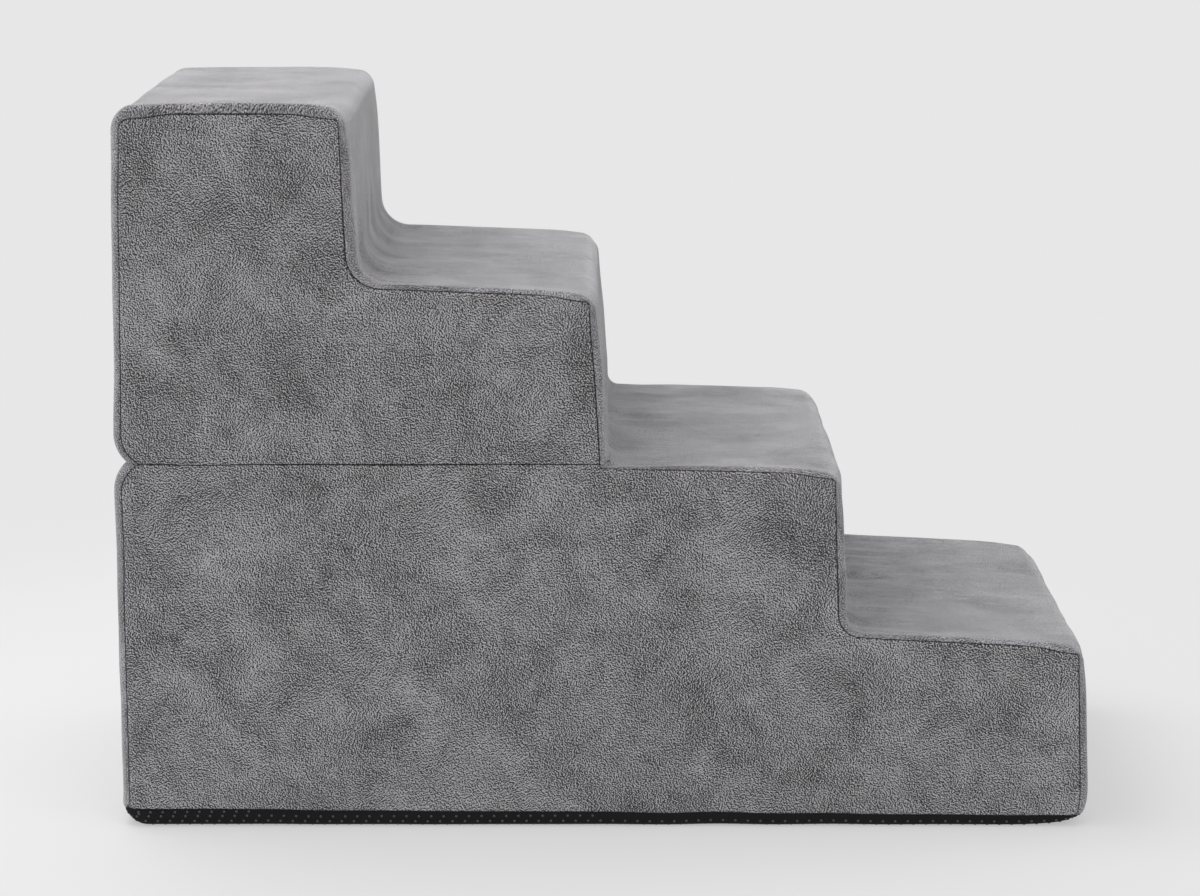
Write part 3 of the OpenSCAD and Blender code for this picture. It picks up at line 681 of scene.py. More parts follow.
def seam_gaps(along, across, ends):
    """Distances from a grid's sides and from those of its two ends that are seams"""
    gaps = np.minimum(across, across[:, -1:] - across)
    for is_seam, gap in zip(ends, (along, along[-1] - along)):
        if is_seam:
            gaps = np.minimum(gaps, gap[:, None])
    return gaps


def seam_dip(seam, fabric):
    return fabric.seam_depth * np.exp(-((seam / fabric.seam_w) ** 2))


def cloth_map(along, across):
    """UV of a grid, in metres: along it, and across it from its middle"""
    cols = across.shape[1]
    middle = across[:, cols // 2:cols // 2 + 1]
    return np.stack([np.repeat(along[:, None], cols, axis=1), across - middle], axis=2)


# Shares of the way from a cover's flat to its seam at which the columns of a strip lie
TURNS = [1, 0.972, 0.944, 0.91, 0.87, 0.82, 0.76, 0.68, 0.58, 0.46, 0.32, 0.16, 0]
ZIP_END = 0.006  # tape beyond each end of a zip's opening
ZIP_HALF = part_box("lower_zip_tapes")[1].y - ZIP_END
SWAY_REACH = 0.03  # how far from a seam the cover sways with it
NEAR_TREAD, WIDE_TREAD = 0.007, 0.03  # widths of the two means that tell a tread from a bend
CREST = 0.022  # half width of a nosing's drawn-in corner and of the calm at the hinge
BACK_U, FAR_U = 1.7, 2.3  # shifts of the UV maps, so that no two faces share their pattern


def spread(block):
    """Places across a strip as shares of its half width"""
    y = block.half_w - block.form.riser_edge_r
    from_edge = [0.0022, 0.0045, 0.007, 0.0095, 0.0125, y - ZIP_HALF, 0.02, 0.0255, 0.032, 0.039, 0.047]
    outer = sorted(1 - d / y for d in from_edge)
    inner = list(np.linspace(0, outer[0], 20)[1:-1])
    half = inner + outer
    return np.array([-s for s in half[::-1]] + [0] + half)


def zip_hole(block, row, cols):
    """A zip's opening in a strip: its first row and the first and the last column"""
    y = spread(block) * (block.half_w - block.form.riser_edge_r)
    edge = len(TURNS) + int(np.argmin(np.abs(y + ZIP_HALF)))
    return row, edge, cols - 1 - edge


def strip_grid(block, path):
    """Points of a strip's outside, as rows along it and columns across it"""
    ways = [path(block.cover(f)) for f in TURNS]
    near = np.stack([w[0] for w in ways], axis=1)
    flat = near[:, -1]
    middle = np.repeat(flat[:, None, :], len(spread(block)), axis=1)
    middle[:, :, 1] = flat[:, 1:2] * spread(block)[None, :]
    return np.concatenate([near * (1, -1, 1), middle, near[:, ::-1]], axis=1), ways[0][1]


def swayed(points, seam, fabric):
    """The points, with those near a seam moved so that the seam wanders a little"""
    x, z = points[..., 0], points[..., 2]
    hold = fabric.sway * (1 - smooth(seam / SWAY_REACH))
    wander = [noise_2d(x / 0.045 + k, z / 0.045, fabric.seed + 6 + k) for k in range(2)]
    return points + np.stack([hold * wander[0], np.zeros_like(x), hold * wander[1]], axis=-1)


def dressed(points, block, fabric, crests, ends, calm=None):
    """The strip's grid with seams, ridges, sag and folds, its UV map and its distance from the seams

    crests are the rows of the nosings, ends says which ends are seams, and the folds fade round the
    row calm, where the strip is divided.
    """
    normal = grid_normals(points)
    middle = points.shape[1] // 2
    along, across = measures(points)
    from_edge = seam_gaps(along, across, (False, False))
    seam = seam_gaps(along, across, ends)
    step = np.gradient(along)
    kernel = lambda width: np.exp(-0.5 * ((along[:, None] - along[None, :]) / width) ** 2) * step[None, :]
    close_to = lambda row: np.exp(-(((along - along[row]) / CREST) ** 2))

    # How far each row is a tread: tread close by, and deep over a wider stretch
    up = np.clip((normal[:, middle, 2] - 0.55) / 0.4, 0, 1)
    near_mean, wide_mean = kernel(NEAR_TREAD), kernel(WIDE_TREAD)
    tread = (near_mean @ up) / near_mean.sum(1)
    deep = (wide_mean @ up) / wide_mean.sum(1)

    y = points[:, :, 1]
    fall = smooth((from_edge - fabric.ridge_flat) / fabric.ridge_fall)
    rise = smooth(from_edge / fabric.ridge_rise) * (1 - fall)
    heights = np.interp(points[:, middle, 2], block.nose_z, fabric.ridge_hs)
    ridge = np.where(y < 0, heights[:, None], fabric.far_ridge_h) * rise * (tread * deep)[:, None]
    sag = fabric.sag * np.clip(1 - (y / np.abs(y).max()) ** 2, 0, 1) ** 0.7 * (deep ** 2)[:, None]

    # Slow waves all over, and folds where the path bends inwards
    uv = cloth_map(along, across)
    u = uv[:, :, 0]
    noise = lambda a, b, k: noise_2d(a, b, fabric.seed + k)
    wave = noise(u / 0.075, y / 0.06, 0) + 0.5 * noise(u / 0.033 + 7, y / 0.03, 1)
    folds = noise(u / 0.16 + 3, y / 0.017 + u / 0.2, 2) + 0.6 * noise(u / 0.1, y / 0.009, 3)
    facing = np.unwrap(np.arctan2(normal[:, middle, 2], normal[:, middle, 0]))
    hollow = wide_mean @ np.clip(-(np.gradient(facing) / np.maximum(step, 1e-6)), 0, None)
    hollow = smooth(hollow / max(hollow.max(), 1e-9) * 1.6)
    if calm:
        hollow = hollow * (1 - 0.8 * close_to(calm))

    crest = np.reshape(sum(close_to(row) for row in crests), (-1, 1))
    drawn = smooth(from_edge / 0.007) * (1 - smooth((from_edge - 0.005) / 0.045))
    fade = smooth(seam / 0.02)
    lift = -sag - fabric.corner_drop * crest * drawn
    lift = lift + fade * (fabric.wave * wave + fabric.fold_h * folds * hollow[:, None])
    lift = (lift - seam_dip(seam, fabric))[:, :, None]
    return swayed(points, seam, fabric) + normal * lift + ridge[:, :, None] * (0, 0, 1), uv, seam


def strip_piece(name, points, uv, seam, finish, hole=(0, 0, 0), ends=(0, None)):
    """The rows of a strip between two ends as a piece, without the cells of a zip's opening"""
    rows = slice(*ends)
    p, t, s = points[rows], uv[rows], seam[rows]
    row, first, last = hole
    skip = lambda i, j: row <= i + ends[0] <= row + OPENING and first <= j < last
    faces = grid_faces(p.shape[0], p.shape[1], skip)
    return new_piece(name, p.reshape(-1, 3), faces, finish, t.reshape(-1, 2), s.reshape(-1))


def inside_ring(ring, points):
    """Which points lie inside a closed ring, and how far each is from it"""
    a, b = ring, np.roll(ring, -1, axis=0)
    x, z = points[:, 0:1], points[:, 1:2]
    cross = (a[:, 1] > z) != (b[:, 1] > z)
    with np.errstate(divide="ignore", invalid="ignore"):
        at = (b[:, 0] - a[:, 0]) * (z - a[:, 1]) / (b[:, 1] - a[:, 1]) + a[:, 0]
    inside = (cross & (x < at)).sum(1) % 2 == 1
    d = b - a
    size = np.maximum((d ** 2).sum(1), 1e-18)
    t = np.clip(((x - a[:, 0]) * d[:, 0] + (z - a[:, 1]) * d[:, 1]) / size, 0, 1)
    gap = np.hypot(x - a[:, 0] - t * d[:, 0], z - a[:, 1] - t * d[:, 1]).min(1)
    return inside, gap


def filled(ring, cell):
    """Points inside a flat ring, and triangles that fill it: they number the ring's points first"""
    lo, hi = ring.min(0), ring.max(0)
    row_step, clear = cell * 0.866, cell * 0.6
    xs = np.arange(lo[0], hi[0], cell)
    zs = np.arange(lo[1], hi[1], row_step)
    inner = np.array([(x + (cell / 2 if k % 2 else 0), z) for k, z in enumerate(zs) for x in xs])
    inside, gap = inside_ring(ring, inner)
    inner = inner[inside & (gap > clear)]
    n = len(ring)
    every = [Vector(p) for p in np.vstack([ring, inner])]
    made, _, cells, sources = delaunay_2d_cdt(every, [(i, (i + 1) % n) for i in range(n)], [], 1, 1e-7)[:4]
    place, extra = [], []
    for point, source in zip(made, sources):
        if source:
            place.append(source[0])
        else:
            place.append(len(every) + len(extra))
            extra.append(point)
    middles = np.array([np.mean([made[i] for i in f], axis=0) for f in cells])
    keep = inside_ring(ring, middles)[0]
    faces = [tuple(place[i] for i in f) for f, k in zip(cells, keep) if k]
    return np.vstack([inner, np.reshape(extra, (-1, 2))]), faces


# Shares of the way from a side cover's seam to its flat at which its rings lie
SIDE_TURNS = [0, 0.06, 0.13, 0.22, 0.33, 0.46, 0.6, 0.78, 1]


def side_piece(name, block, ring, far, fabric, finish):
    """One side cover: its rounded rim and its face, filled with small triangles"""
    rings = np.stack([ring(block.side(f)) for f in SIDE_TURNS])
    count, n = rings.shape[:2]
    inner, faces = filled(rings[-1][:, [0, 2]], fabric.cell)
    steps = np.linalg.norm(np.diff(rings, axis=0), axis=2)
    rim_gaps = np.concatenate([np.zeros((1, n)), np.cumsum(steps, axis=0)])
    gaps = inside_ring(rings[0][:, [0, 2]], inner)[1]
    flat = np.column_stack([inner[:, 0], np.full(len(inner), block.half_w), inner[:, 1]])
    points = np.vstack([rings.reshape(-1, 3), flat])
    seam = np.concatenate([rim_gaps.ravel(), gaps])
    base = (count - 1) * n
    faces = tube_faces(count, n) + [tuple(base + i for i in f) for f in faces]
    x, z = points[:, 0], points[:, 2]
    noise = lambda a, b, k: noise_2d(a, b, fabric.seed + k)
    wave = noise(x / 0.09 + 5, z / 0.08, 4) + 0.5 * noise(x / 0.04, z / 0.035, 5)
    lift = smooth(seam / 0.03) * (0.0006 + fabric.wave * wave)
    points = swayed(points, seam, fabric)
    points[:, 1] += lift - seam_dip(seam, fabric)
    points[:, 1] *= 1 if far else -1
    uv = np.column_stack([x + (FAR_U if far else 0), z])
    return new_piece(name, points, faced(points, faces, 1, 1 if far else -1), finish, uv, seam)


def stand_for(piece, body, slot, *nodes):
    """Tells the frame the nodes that a piece replaces, by hiding them, and the body that it rides; the slot is
    not used
    """
    if nodes:
        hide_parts(*nodes)
    if body:
        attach(piece, body)


# ---- node trees ----


class Term:
    """A node's output that takes part in sums and products"""

    def __init__(self, tree, socket):
        self.tree, self.socket = tree, socket

    def _math(self, operation, *values):
        return self.tree.node("ShaderNodeMath", {"operation": operation}, dict(enumerate(values)))

    def __add__(self, other):
        return self._math("ADD", self, other)

    def __sub__(self, other):
        return self._math("SUBTRACT", self, other)

    def __rsub__(self, other):
        return self._math("SUBTRACT", other, self)

    def __mul__(self, other):
        return self._math("MULTIPLY", self, other)

    __radd__ = __add__
    __rmul__ = __mul__

    def swing(self, size):
        """A noise from 0 to 1 as a number on both sides of 0"""
        return (self - 0.5) * size

    def sine(self):
        return self._math("SINE", self)

    def least(self, other):
        return self._math("MINIMUM", self, other)

    def most(self, other):
        return self._math("MAXIMUM", self, other)

    def between(self, low, high):
        """0 up to low and 1 from high, smoothly"""
        inputs = {"Value": self, "From Min": low, "From Max": high}
        return self.tree.node("ShaderNodeMapRange", {"interpolation_type": "SMOOTHSTEP"}, inputs)

    def others(self, *names):
        """Outputs of the same node"""
        return [Term(self.tree, self.socket.node.outputs[name]) for name in names]


class Tree:
    """A node tree that is filled by calls"""

    def __init__(self, data):
        self.data = data
        self.data.nodes.clear()

    def node(self, kind, settings=None, inputs=None, out=0):
        made = self.data.nodes.new(kind)
        for name, value in (settings or {}).items():
            setattr(made, name, value)
        for name, value in (inputs or {}).items():
            if isinstance(value, Term):
                self.data.links.new(value.socket, made.inputs[name])
            else:
                made.inputs[name].default_value = value
        return Term(self, made.outputs[out]) if len(made.outputs) else made

    def seen_ray(self):
        """1 for the rays that show a surface: camera, glossy and transmission rays"""
        rays = self.node("ShaderNodeLightPath")
        camera, glossy, through = rays.others("Is Camera Ray", "Is Glossy Ray", "Is Transmission Ray")
        return (camera + glossy + through).least(1.0)


class Finish(Tree):
    """A procedural material"""

    def __init__(self, name):
        self.material = bpy.data.materials.new(name)
        self.material.use_nodes = True
        super().__init__(self.material.node_tree)

    def noise(self, place, scale, detail=2.0, rough=0.5, warp=0.0):
        inputs = {"Vector": place, "Scale": scale, "Detail": detail, "Roughness": rough, "Distortion": warp}
        return self.node("ShaderNodeTexNoise", {}, inputs)

    def cloth(self):
        return self.node("ShaderNodeUVMap", {"uv_map": "cloth"})

    def stretched(self, place, scale):
        return self.node("ShaderNodeMapping", {}, {"Vector": place, "Scale": scale})

    def scaled(self, base, value):
        """The colour base times a number"""
        grey = self.node("ShaderNodeCombineColor", {}, {0: value, 1: value, 2: value})
        settings = {"data_type": "RGBA", "blend_type": "MULTIPLY"}
        return self.node("ShaderNodeMix", settings, {0: 1.0, 6: (*base, 1.0), 7: grey}, 2)

    def bump(self, height, strength, distance):
        return self.node("ShaderNodeBump", {}, {"Height": height, "Strength": strength, "Distance": distance})

    def shader(self, colour, **values):
        names = {
            "roughness": "Roughness",
            "metallic": "Metallic",
            "normal": "Normal",
            "sheen": "Sheen Weight",
            "sheen_roughness": "Sheen Roughness",
            "sheen_tint": "Sheen Tint",
            "specular": "Specular IOR Level",
        }
        inputs = {names[name]: value for name, value in values.items()}
        return self.node("ShaderNodeBsdfPrincipled", {}, {"Base Color": colour, **inputs})

    def ended(self, shader):
        """The material, with the shader as its surface"""
        self.node("ShaderNodeOutputMaterial", {}, {"Surface": shader})
        return self.material


class Plush(Finish):
    """Short plush: what its two finishes share"""

    def __init__(self, name):
        super().__init__(name)
        self.place = self.cloth()
        self.speck = self.noise(self.place, 1300.0, 2.0, 0.6)

    def pile(self, lay):
        """The grain of the tufts, which lie the way that the noise lay turns them"""
        inputs = {"Scale": 470.0, "Frequency": 1.1, "Anisotropy": 0.3, "Orientation": lay.swing(5.0) + 0.8}
        worm = self.node("ShaderNodeTexGabor", {"gabor_type": "2D"}, {"Vector": self.place, **inputs})
        return worm.swing(10.0) + self.speck.swing(5.5)

    def covered(self, base, tone, normal, **sheen):
        """The material, with painted shade: its colour darkens to a dark line where the cover dips into a seam
        """
        # painted shade: the colour falls to 0.15 of its tone at a seam and comes back within about a
        # millimetre, standing in for the shade in the cover's dip
        gap = self.node("ShaderNodeAttribute", {"attribute_name": "seam_gap"}, out=2)
        line = (gap + self.speck.swing(0.0012)).between(0.0003, 0.0010)
        colour = self.scaled(base, tone * (0.15 + 0.85 * line))
        return self.ended(self.shader(colour, roughness=0.93, normal=normal, specular=0.12, **sheen))


def plush(name, base):
    """Plush that is brushed in patches"""
    f = Plush(name)
    patches = f.noise(f.place, 15.0, 5.0, 0.68, 0.5)
    blotches = f.noise(f.place, 62.0, 3.0, 0.65, 0.8)
    pile = f.pile(f.noise(f.place, 13.0, 1.5, 0.5, 0.3))
    tone = 1.07 + patches.swing(3.0) + blotches.swing(1.3) + pile
    normal = f.bump(pile * 0.4 + blotches.swing(0.4), 0.6, 0.0011)
    sheen = {"sheen": 0.55, "sheen_roughness": 0.42, "sheen_tint": (0.86, 0.86, 0.9, 1.0)}
    return f.covered(base, tone.most(0.15).least(2.6), normal, **sheen)


def brushed_plush(name, base):
    """The same plush on the steps, where the pile is brushed smooth along the strip"""
    f = Plush(name)
    streaks = f.noise(f.stretched(f.place, (17.0, 44.0, 1.0)), 1.0, 4.0, 0.62, 1.2)
    fine = f.noise(f.stretched(f.place, (90.0, 210.0, 1.0)), 1.0, 3.0, 0.6, 0.6)
    nap = f.noise(f.stretched(f.place, (420.0, 220.0, 1.0)), 1.0, 2.0, 0.6, 0.4)
    patches = f.noise(f.place, 18.0, 3.0, 0.55)
    pile = f.pile(f.noise(f.place, 15.0, 1.0, 0.5, 0.4))
    tone = 1.06 + streaks.swing(1.2) + fine.swing(1.1) + nap.swing(1.2) + patches.swing(1.8) + pile * 0.45
    normal = f.bump(pile * 0.2 + nap.swing(0.6) + fine.swing(0.8) + streaks.swing(0.8), 0.6, 0.0010)
    sheen = {"sheen": 1.0, "sheen_roughness": 0.3, "sheen_tint": (1.0, 0.99, 1.0, 1.0)}
    return f.covered(base, tone.most(0.2), normal, **sheen)


def woven(name, base, pitch, contrast, depth, roughness, sheen):
    """Plain weave in the cloth's own directions"""
    f = Finish(name)
    place = f.cloth()
    along, across = f.node("ShaderNodeSeparateXYZ", {}, {0: place}).others(0, 1)
    turn = 2 * math.pi / pitch
    lint = f.noise(place, 900.0, 2.0, 0.6)
    height = (along * turn).sine() * (across * turn).sine() * 0.5 + lint.swing(0.8)
    tone = 1.0 + height * contrast + f.noise(place, 30.0, 3.0, 0.6).swing(0.5)
    return f.ended(f.shader(
        f.scaled(base, tone.most(0.2)), roughness=roughness, normal=f.bump(height, 0.6, depth),
        sheen=sheen, sheen_roughness=0.5, sheen_tint=(0.8, 0.8, 0.85, 1.0), specular=0.2,
    ))


def solid(
    name, base, grain_scale, grain_depth, tone_depth, roughness,
    rough_swing=0.2, specular=0.5, metallic=0.0, stretch=(1, 1, 1),
):
    """A finish in object coordinates: fine grain, slow cloud and worn places"""
    f = Finish(name)
    coords = f.node("ShaderNodeTexCoord", out=3)
    grain = f.noise(f.stretched(coords, stretch), grain_scale, 3.0, 0.6)
    cloud = f.noise(coords, grain_scale / 14, 3.0, 0.6)
    tone = 1.0 + grain.swing(tone_depth) + cloud.swing(tone_depth)
    return f.ended(f.shader(
        f.scaled(base, tone.most(0.2)), metallic=metallic, specular=specular,
        roughness=roughness + cloud.swing(rough_swing), normal=f.bump(grain, 0.4, grain_depth),
    ))


def finishes(colours):
    """Every material, made once and looked up by name"""
    made = {m["finish"]: m for m in bpy.data.materials if "finish" in m}
    if made:
        return made
    c = lambda name: tuple(getattr(colours, name))
    every = [
        plush("plush_side", c("side")),
        brushed_plush("plush_step", c("strip")),
        woven("base_cloth", c("base"), 0.0012, 0.5, 0.0003, 0.8, 0.0),
        solid("rubber_dots", c("dots"), 900, 0.0001, 0.3, 0.55, specular=0.35),
        solid("thread", c("thread"), 1600, 0.0001, 0.4, 0.7, specular=0.2),
        woven("lining_cloth", c("lining"), 0.0007, 0.35, 0.0002, 0.7, 0.2),
        woven("pad_cloth", c("pads"), 0.0016, 0.5, 0.0004, 0.8, 0.2),
        solid("hook_nylon", c("pads"), 1500, 0.0001, 0.3, 0.45),
        solid("open_foam", c("foam"), 900, 0.0006, 0.25, 0.95, specular=0.1),
        woven("tape_cloth", c("tape"), 0.0009, 0.5, 0.0002, 0.7, 0.2),
        solid("moulded_teeth", c("teeth"), 1500, 0.00005, 0.25, 0.42, 0.25),
        solid("satin_metal", c("metal"), 700, 0.00004, 0.2, 0.34, 0.25, metallic=1.0, stretch=(1, 6, 1)),
    ]
    for m in every:
        m["finish"] = m.name.split(".")[0]
    return {m["finish"]: m for m in every}


class NodesOnPoints(Tree):
    """A geometry tree that sets one small bead along a path or on marked points"""

    def __init__(self, name, sizes):
        group = bpy.data.node_groups.new(name, "GeometryNodeTree")
        group.interface.new_socket("Geometry", in_out="INPUT", socket_type="NodeSocketGeometry")
        for size, default in sizes.items():
            socket = group.interface.new_socket(size, in_out="INPUT", socket_type="NodeSocketFloat")
            socket.default_value = default
            socket.subtype = "DISTANCE"
        group.interface.new_socket("Material", in_out="INPUT", socket_type="NodeSocketMaterial")
        group.interface.new_socket("Geometry", in_out="OUTPUT", socket_type="NodeSocketGeometry")
        super().__init__(group)
        self.entry = group.nodes.new("NodeGroupInput")

    def given(self, name):
        return Term(self, self.entry.outputs[name])

    def turned(self, axis, way):
        return self.node("FunctionNodeAlignRotationToVector", {"axis": axis}, {"Vector": way})

    def beaded(self, points, rings, turn, scale):
        """The tree, with a turned and scaled bead on each point, made real and given its material"""
        bead = self.node("GeometryNodeMeshUVSphere", {}, {"Segments": 6, "Rings": rings, "Radius": 1.0})
        size = self.node("ShaderNodeCombineXYZ", {}, dict(enumerate(scale)))
        inputs = {"Points": points, "Instance": bead, "Rotation": turn, "Scale": size}
        set_out = self.node("GeometryNodeInstanceOnPoints", {}, inputs)
        real = self.node("GeometryNodeRealizeInstances", {}, {0: set_out})
        shaded = self.node("GeometryNodeSetShadeSmooth", {}, {"Geometry": real, "Shade Smooth": True})
        inputs = {"Geometry": shaded, "Material": self.given("Material")}
        self.node("NodeGroupOutput", {}, {0: self.node("GeometryNodeSetMaterial", {}, inputs)})
        return self.data


def stitch_nodes(name):
    t = NodesOnPoints(name, {"Pitch": 0.0036, "Stitch length": 0.0026, "Thread": 0.0007})
    curve = t.node("GeometryNodeMeshToCurve", {}, {"Mesh": t.given("Geometry")})
    inputs = {"Curve": curve, "Length": t.given("Pitch")}
    even = t.node("GeometryNodeResampleCurve", {"mode": "LENGTH"}, inputs)
    turn = t.turned("X", t.node("GeometryNodeInputTangent"))
    thread = t.given("Thread") * 0.5
    return t.beaded(even, 4, turn, (t.given("Stitch length") * 0.5, thread, thread))


def dot_nodes(name):
    t = NodesOnPoints(name, {"Diameter": 0.0026, "Height": 0.0006})
    facing = t.node("GeometryNodeInputNamedAttribute", {"data_type": "FLOAT_VECTOR"}, {"Name": "facing"})
    across = t.given("Diameter") * 0.5
    return t.beaded(t.given("Geometry"), 3, t.turned("Z", facing), (across, across, t.given("Height")))


def baked(name, host, tree, build, values, finish):
    """The result of a named tree, built when it isn't there yet, as a plain mesh object at the origin"""
    group = bpy.data.node_groups.get(tree) or build(tree)
    piece = placed(name + "_host", host)
    modifier = piece.modifiers.new("Nodes", "NODES")
    modifier.node_group = group
    ids = {s.name: s.identifier for s in group.interface.items_tree if s.in_out == "INPUT"}
    for key, value in {**values, "Material": finish}.items():
        modifier[ids[key]] = value
    graph = bpy.context.evaluated_depsgraph_get()
    mesh = bpy.data.meshes.new_from_object(piece.evaluated_get(graph))
    piece.modifiers.remove(modifier)
    bpy.data.objects.remove(piece)
    mesh.name = name
    if not mesh.materials:
        mesh.materials.append(finish)
    return placed(name, mesh)


def sewn(name, lines, fabric, thread, finish):
    """Stitches along lines of points"""
    points, edges = [], []
    for line in lines:
        first = len(points)
        points += [tuple(p) for p in tucked(line)]
        edges += [(first + i, first + i + 1) for i in range(len(line) - 1)]
    mesh = bpy.data.meshes.new("lines")
    mesh.from_pydata(points, edges, [])
    sizes = {"Pitch": fabric.stitch_pitch, "Stitch length": fabric.stitch_l, "Thread": thread}
    return baked(name, mesh, "Stitches along a seam", stitch_nodes, sizes, finish)


def dotted(name, points, normals, diameter, height, finish):
    """Dots on points, each along its normal"""
    mesh = bpy.data.meshes.new("points")
    mesh.from_pydata([tuple(p) for p in tucked(points)], [], [])
    facing = mesh.attributes.new("facing", "FLOAT_VECTOR", "POINT")
    facing.data.foreach_set("vector", np.asarray(normals, np.float32).ravel())
    return baked(name, mesh, "Dots on a surface", dot_nodes, {"Diameter": diameter, "Height": height}, finish)


def on_back(block, z, flat):
    """Points of a drawing that lies flat, set upright on the back at height z"""
    lean = math.atan(block.form.back_lean / (block.top_z - block.parting_z)) if z > block.parting_z else 0
    x, y, h = flat[..., 0], flat[..., 1], flat[..., 2]
    c, s = math.cos(lean), math.sin(lean)
    return np.stack([block.back_at(z) - h * c + y * s, -x, z + h * s + y * c], axis=-1)


def outward(piece):
    """Turns a closed mesh's faces outwards"""
    work = bmesh.new()
    work.from_mesh(piece.data)
    bmesh.ops.recalc_face_normals(work, faces=work.faces)
    work.to_mesh(piece.data)
    work.free()


# ---- operators ----


class Maker:
    """What every operator of the stairs shares"""

    bl_options = {"REGISTER", "UNDO"}

    def execute(self, context):
        scene = context.scene
        self.build(Block(scene.stairs_form), scene.stairs_fabric, finishes(scene.stairs_colours))
        return {"FINISHED"}


class STAIRS_OT_side_covers(Maker, bpy.types.Operator):
    """Builds the four side covers, near and far, of both modules"""

    bl_idname = "stairs.side_covers"
    bl_label = "Side covers"

    def build(self, block, fabric, looks):
        for module, ring in (("lower", block.lower_ring), ("upper", block.upper_ring)):
            for side in ("near", "far"):
                name = f"{module}_{side}_side_cover"
                piece = side_piece(name, block, ring, side == "far", fabric, looks["plush_side"])
                thicken(piece, block.form.cover_t)
                stand_for(piece, f"{module}_module", "plush_side", f"{module}_{side}_side_panel")


class STAIRS_OT_step_covers(Maker, bpy.types.Operator):
    """Builds the covers of the steps and the hinge fabric between the modules"""

    bl_idname = "stairs.step_covers"
    bl_label = "Step covers and hinge"

    def build(self, block, fabric, looks):
        grid, starts = strip_grid(block, block.steps_path)
        first, last = block.hinge_rows(starts)
        noses = [starts[k] + BEND // 2 for k in (1, 3, 5, 7)]
        strip = dressed(grid, block, fabric, noses, (True, False), (first + last) // 2)
        hole = zip_hole(block, starts[9], grid.shape[1])
        plush = looks["plush_step"]
        lower = strip_piece("lower_step_cover", *strip, plush, ends=(0, first + 1))
        upper = strip_piece("upper_step_cover", *strip, plush, hole, (last, None))
        hinge = strip_piece("hinge_cover", *strip, plush, ends=(first, last + 1))
        for piece in (lower, upper, hinge):
            thicken(piece, block.form.cover_t)
        stand_for(lower, "lower_module", "plush_strip", "lower_step_strip")
        stand_for(upper, "upper_module", "plush_strip", "upper_step_strip")
        stand_for(hinge, None, "plush_strip", "lower_hinge_leaf", "upper_hinge_leaf")
        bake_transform(hinge)


class STAIRS_OT_back_cover(Maker, bpy.types.Operator):
    """Builds the cover of the lower module's back, with its zip opening"""

    bl_idname = "stairs.back_cover"
    bl_label = "Back cover"

    def build(self, block, fabric, looks):
        grid, starts = strip_grid(block, block.back_path)
        points, uv, seam = dressed(grid, block, fabric, [], (False, True))
        uv[:, :, 0] += BACK_U
        hole = zip_hole(block, starts[1], grid.shape[1])
        piece = strip_piece("lower_back_cover", points, uv, seam, looks["plush_step"], hole)
        thicken(piece, block.form.cover_t)
        stand_for(piece, "lower_module", "plush_strip", "lower_back_panel")


class STAIRS_OT_base_cover(Maker, bpy.types.Operator):
    """Builds the anti-slip base fabric and its rubber dots"""

    bl_idname = "stairs.base_cover"
    bl_label = "Base cover"

    def build(self, block, fabric, looks):
        grid = strip_grid(block, block.base_path)[0]
        normal = grid_normals(grid)
        along, across = measures(grid)
        seam = seam_gaps(along, across, (True, True))
        inset = seam_dip(seam, fabric) + fabric.dot_h * smooth(seam / 0.004)
        points = swayed(grid, seam, fabric) - normal * inset[:, :, None]
        uv = cloth_map(along, across)
        piece = strip_piece("base_cover", points, uv, seam, looks["base_cloth"])
        thicken(piece, block.form.cover_t)
        stand_for(piece, "lower_module", "base_fabric", "base_panel")

        spots, facing = [], []
        pitch, margin = fabric.dot_pitch, 0.003
        reach = across.max() / 2
        for k in range(1, int(along[-1] / (pitch / 2))):
            t = k * pitch / 2
            if not margin < t < along[-1] - margin:
                continue
            i = min(int(np.searchsorted(along, t)), len(along) - 1)
            f = (t - along[i - 1]) / max(along[i] - along[i - 1], 1e-9)
            row, tilt, place = (mix(v[i - 1], v[i], f) for v in (points, normal, uv[:, :, 1]))
            for v in np.arange(-reach, reach, pitch) + (pitch / 2 if k % 2 else 0):
                if place[0] + margin < v < place[-1] - margin:
                    spots.append([np.interp(v, place, row[:, c]) for c in range(3)])
                    facing.append([np.interp(v, place, tilt[:, c]) for c in range(3)])
        dots = dotted("base_dots", spots, facing, fabric.dot_d, fabric.dot_h, looks["rubber_dots"])
        stand_for(dots, "lower_module", "base_fabric")


class STAIRS_OT_foam_blocks(Maker, bpy.types.Operator):
    """Builds the two foam blocks inside the covers"""

    bl_idname = "stairs.foam_blocks"
    bl_label = "Foam blocks"

    def build(self, block, fabric, looks):
        depth = block.form.cover_t + block.form.gap + FOAM_T
        for module, ring, limits in (
            ("lower", block.lower_ring, (None, block.parting_z - FOAM_IN)),
            ("upper", block.upper_ring, (block.parting_z + FOAM_IN, None)),
        ):
            far = [ring(block.foam(f, depth, FOAM_IN), True) for f in np.arange(9) / 8]
            for r in far:
                r[:, 2] = np.clip(r[:, 2], *limits)
            every = [r * (1, -1, 1) for r in far[::-1]] + far
            count, n = len(every), len(every[0])
            inner, faces = filled(every[0][:, [0, 2]], 0.02)
            cap = np.column_stack([inner[:, 0], np.full(len(inner), every[0][0, 1]), inner[:, 1]])
            points = np.vstack([*every, cap, cap * (1, -1, 1)])
            last = (count - 1) * n
            caps = []
            for way, base, start in ((-1, 0, last), (1, last, last + len(inner))):
                own = [tuple((base if i < n else start) + i for i in f) for f in faces]
                caps += faced(points, own, 1, way)
            quads = tube_faces(count, n)
            a, b, c = (points[i] for i in quads[len(quads) // 2][:3])
            if np.cross(b - a, c - a) @ (a - points.mean(0)) < 0:
                quads = [q[::-1] for q in quads]
            piece = new_piece(f"{module}_foam", points, quads + caps, looks["open_foam"])
            stand_for(piece, f"{module}_module", "foam", f"{module}_foam_block")


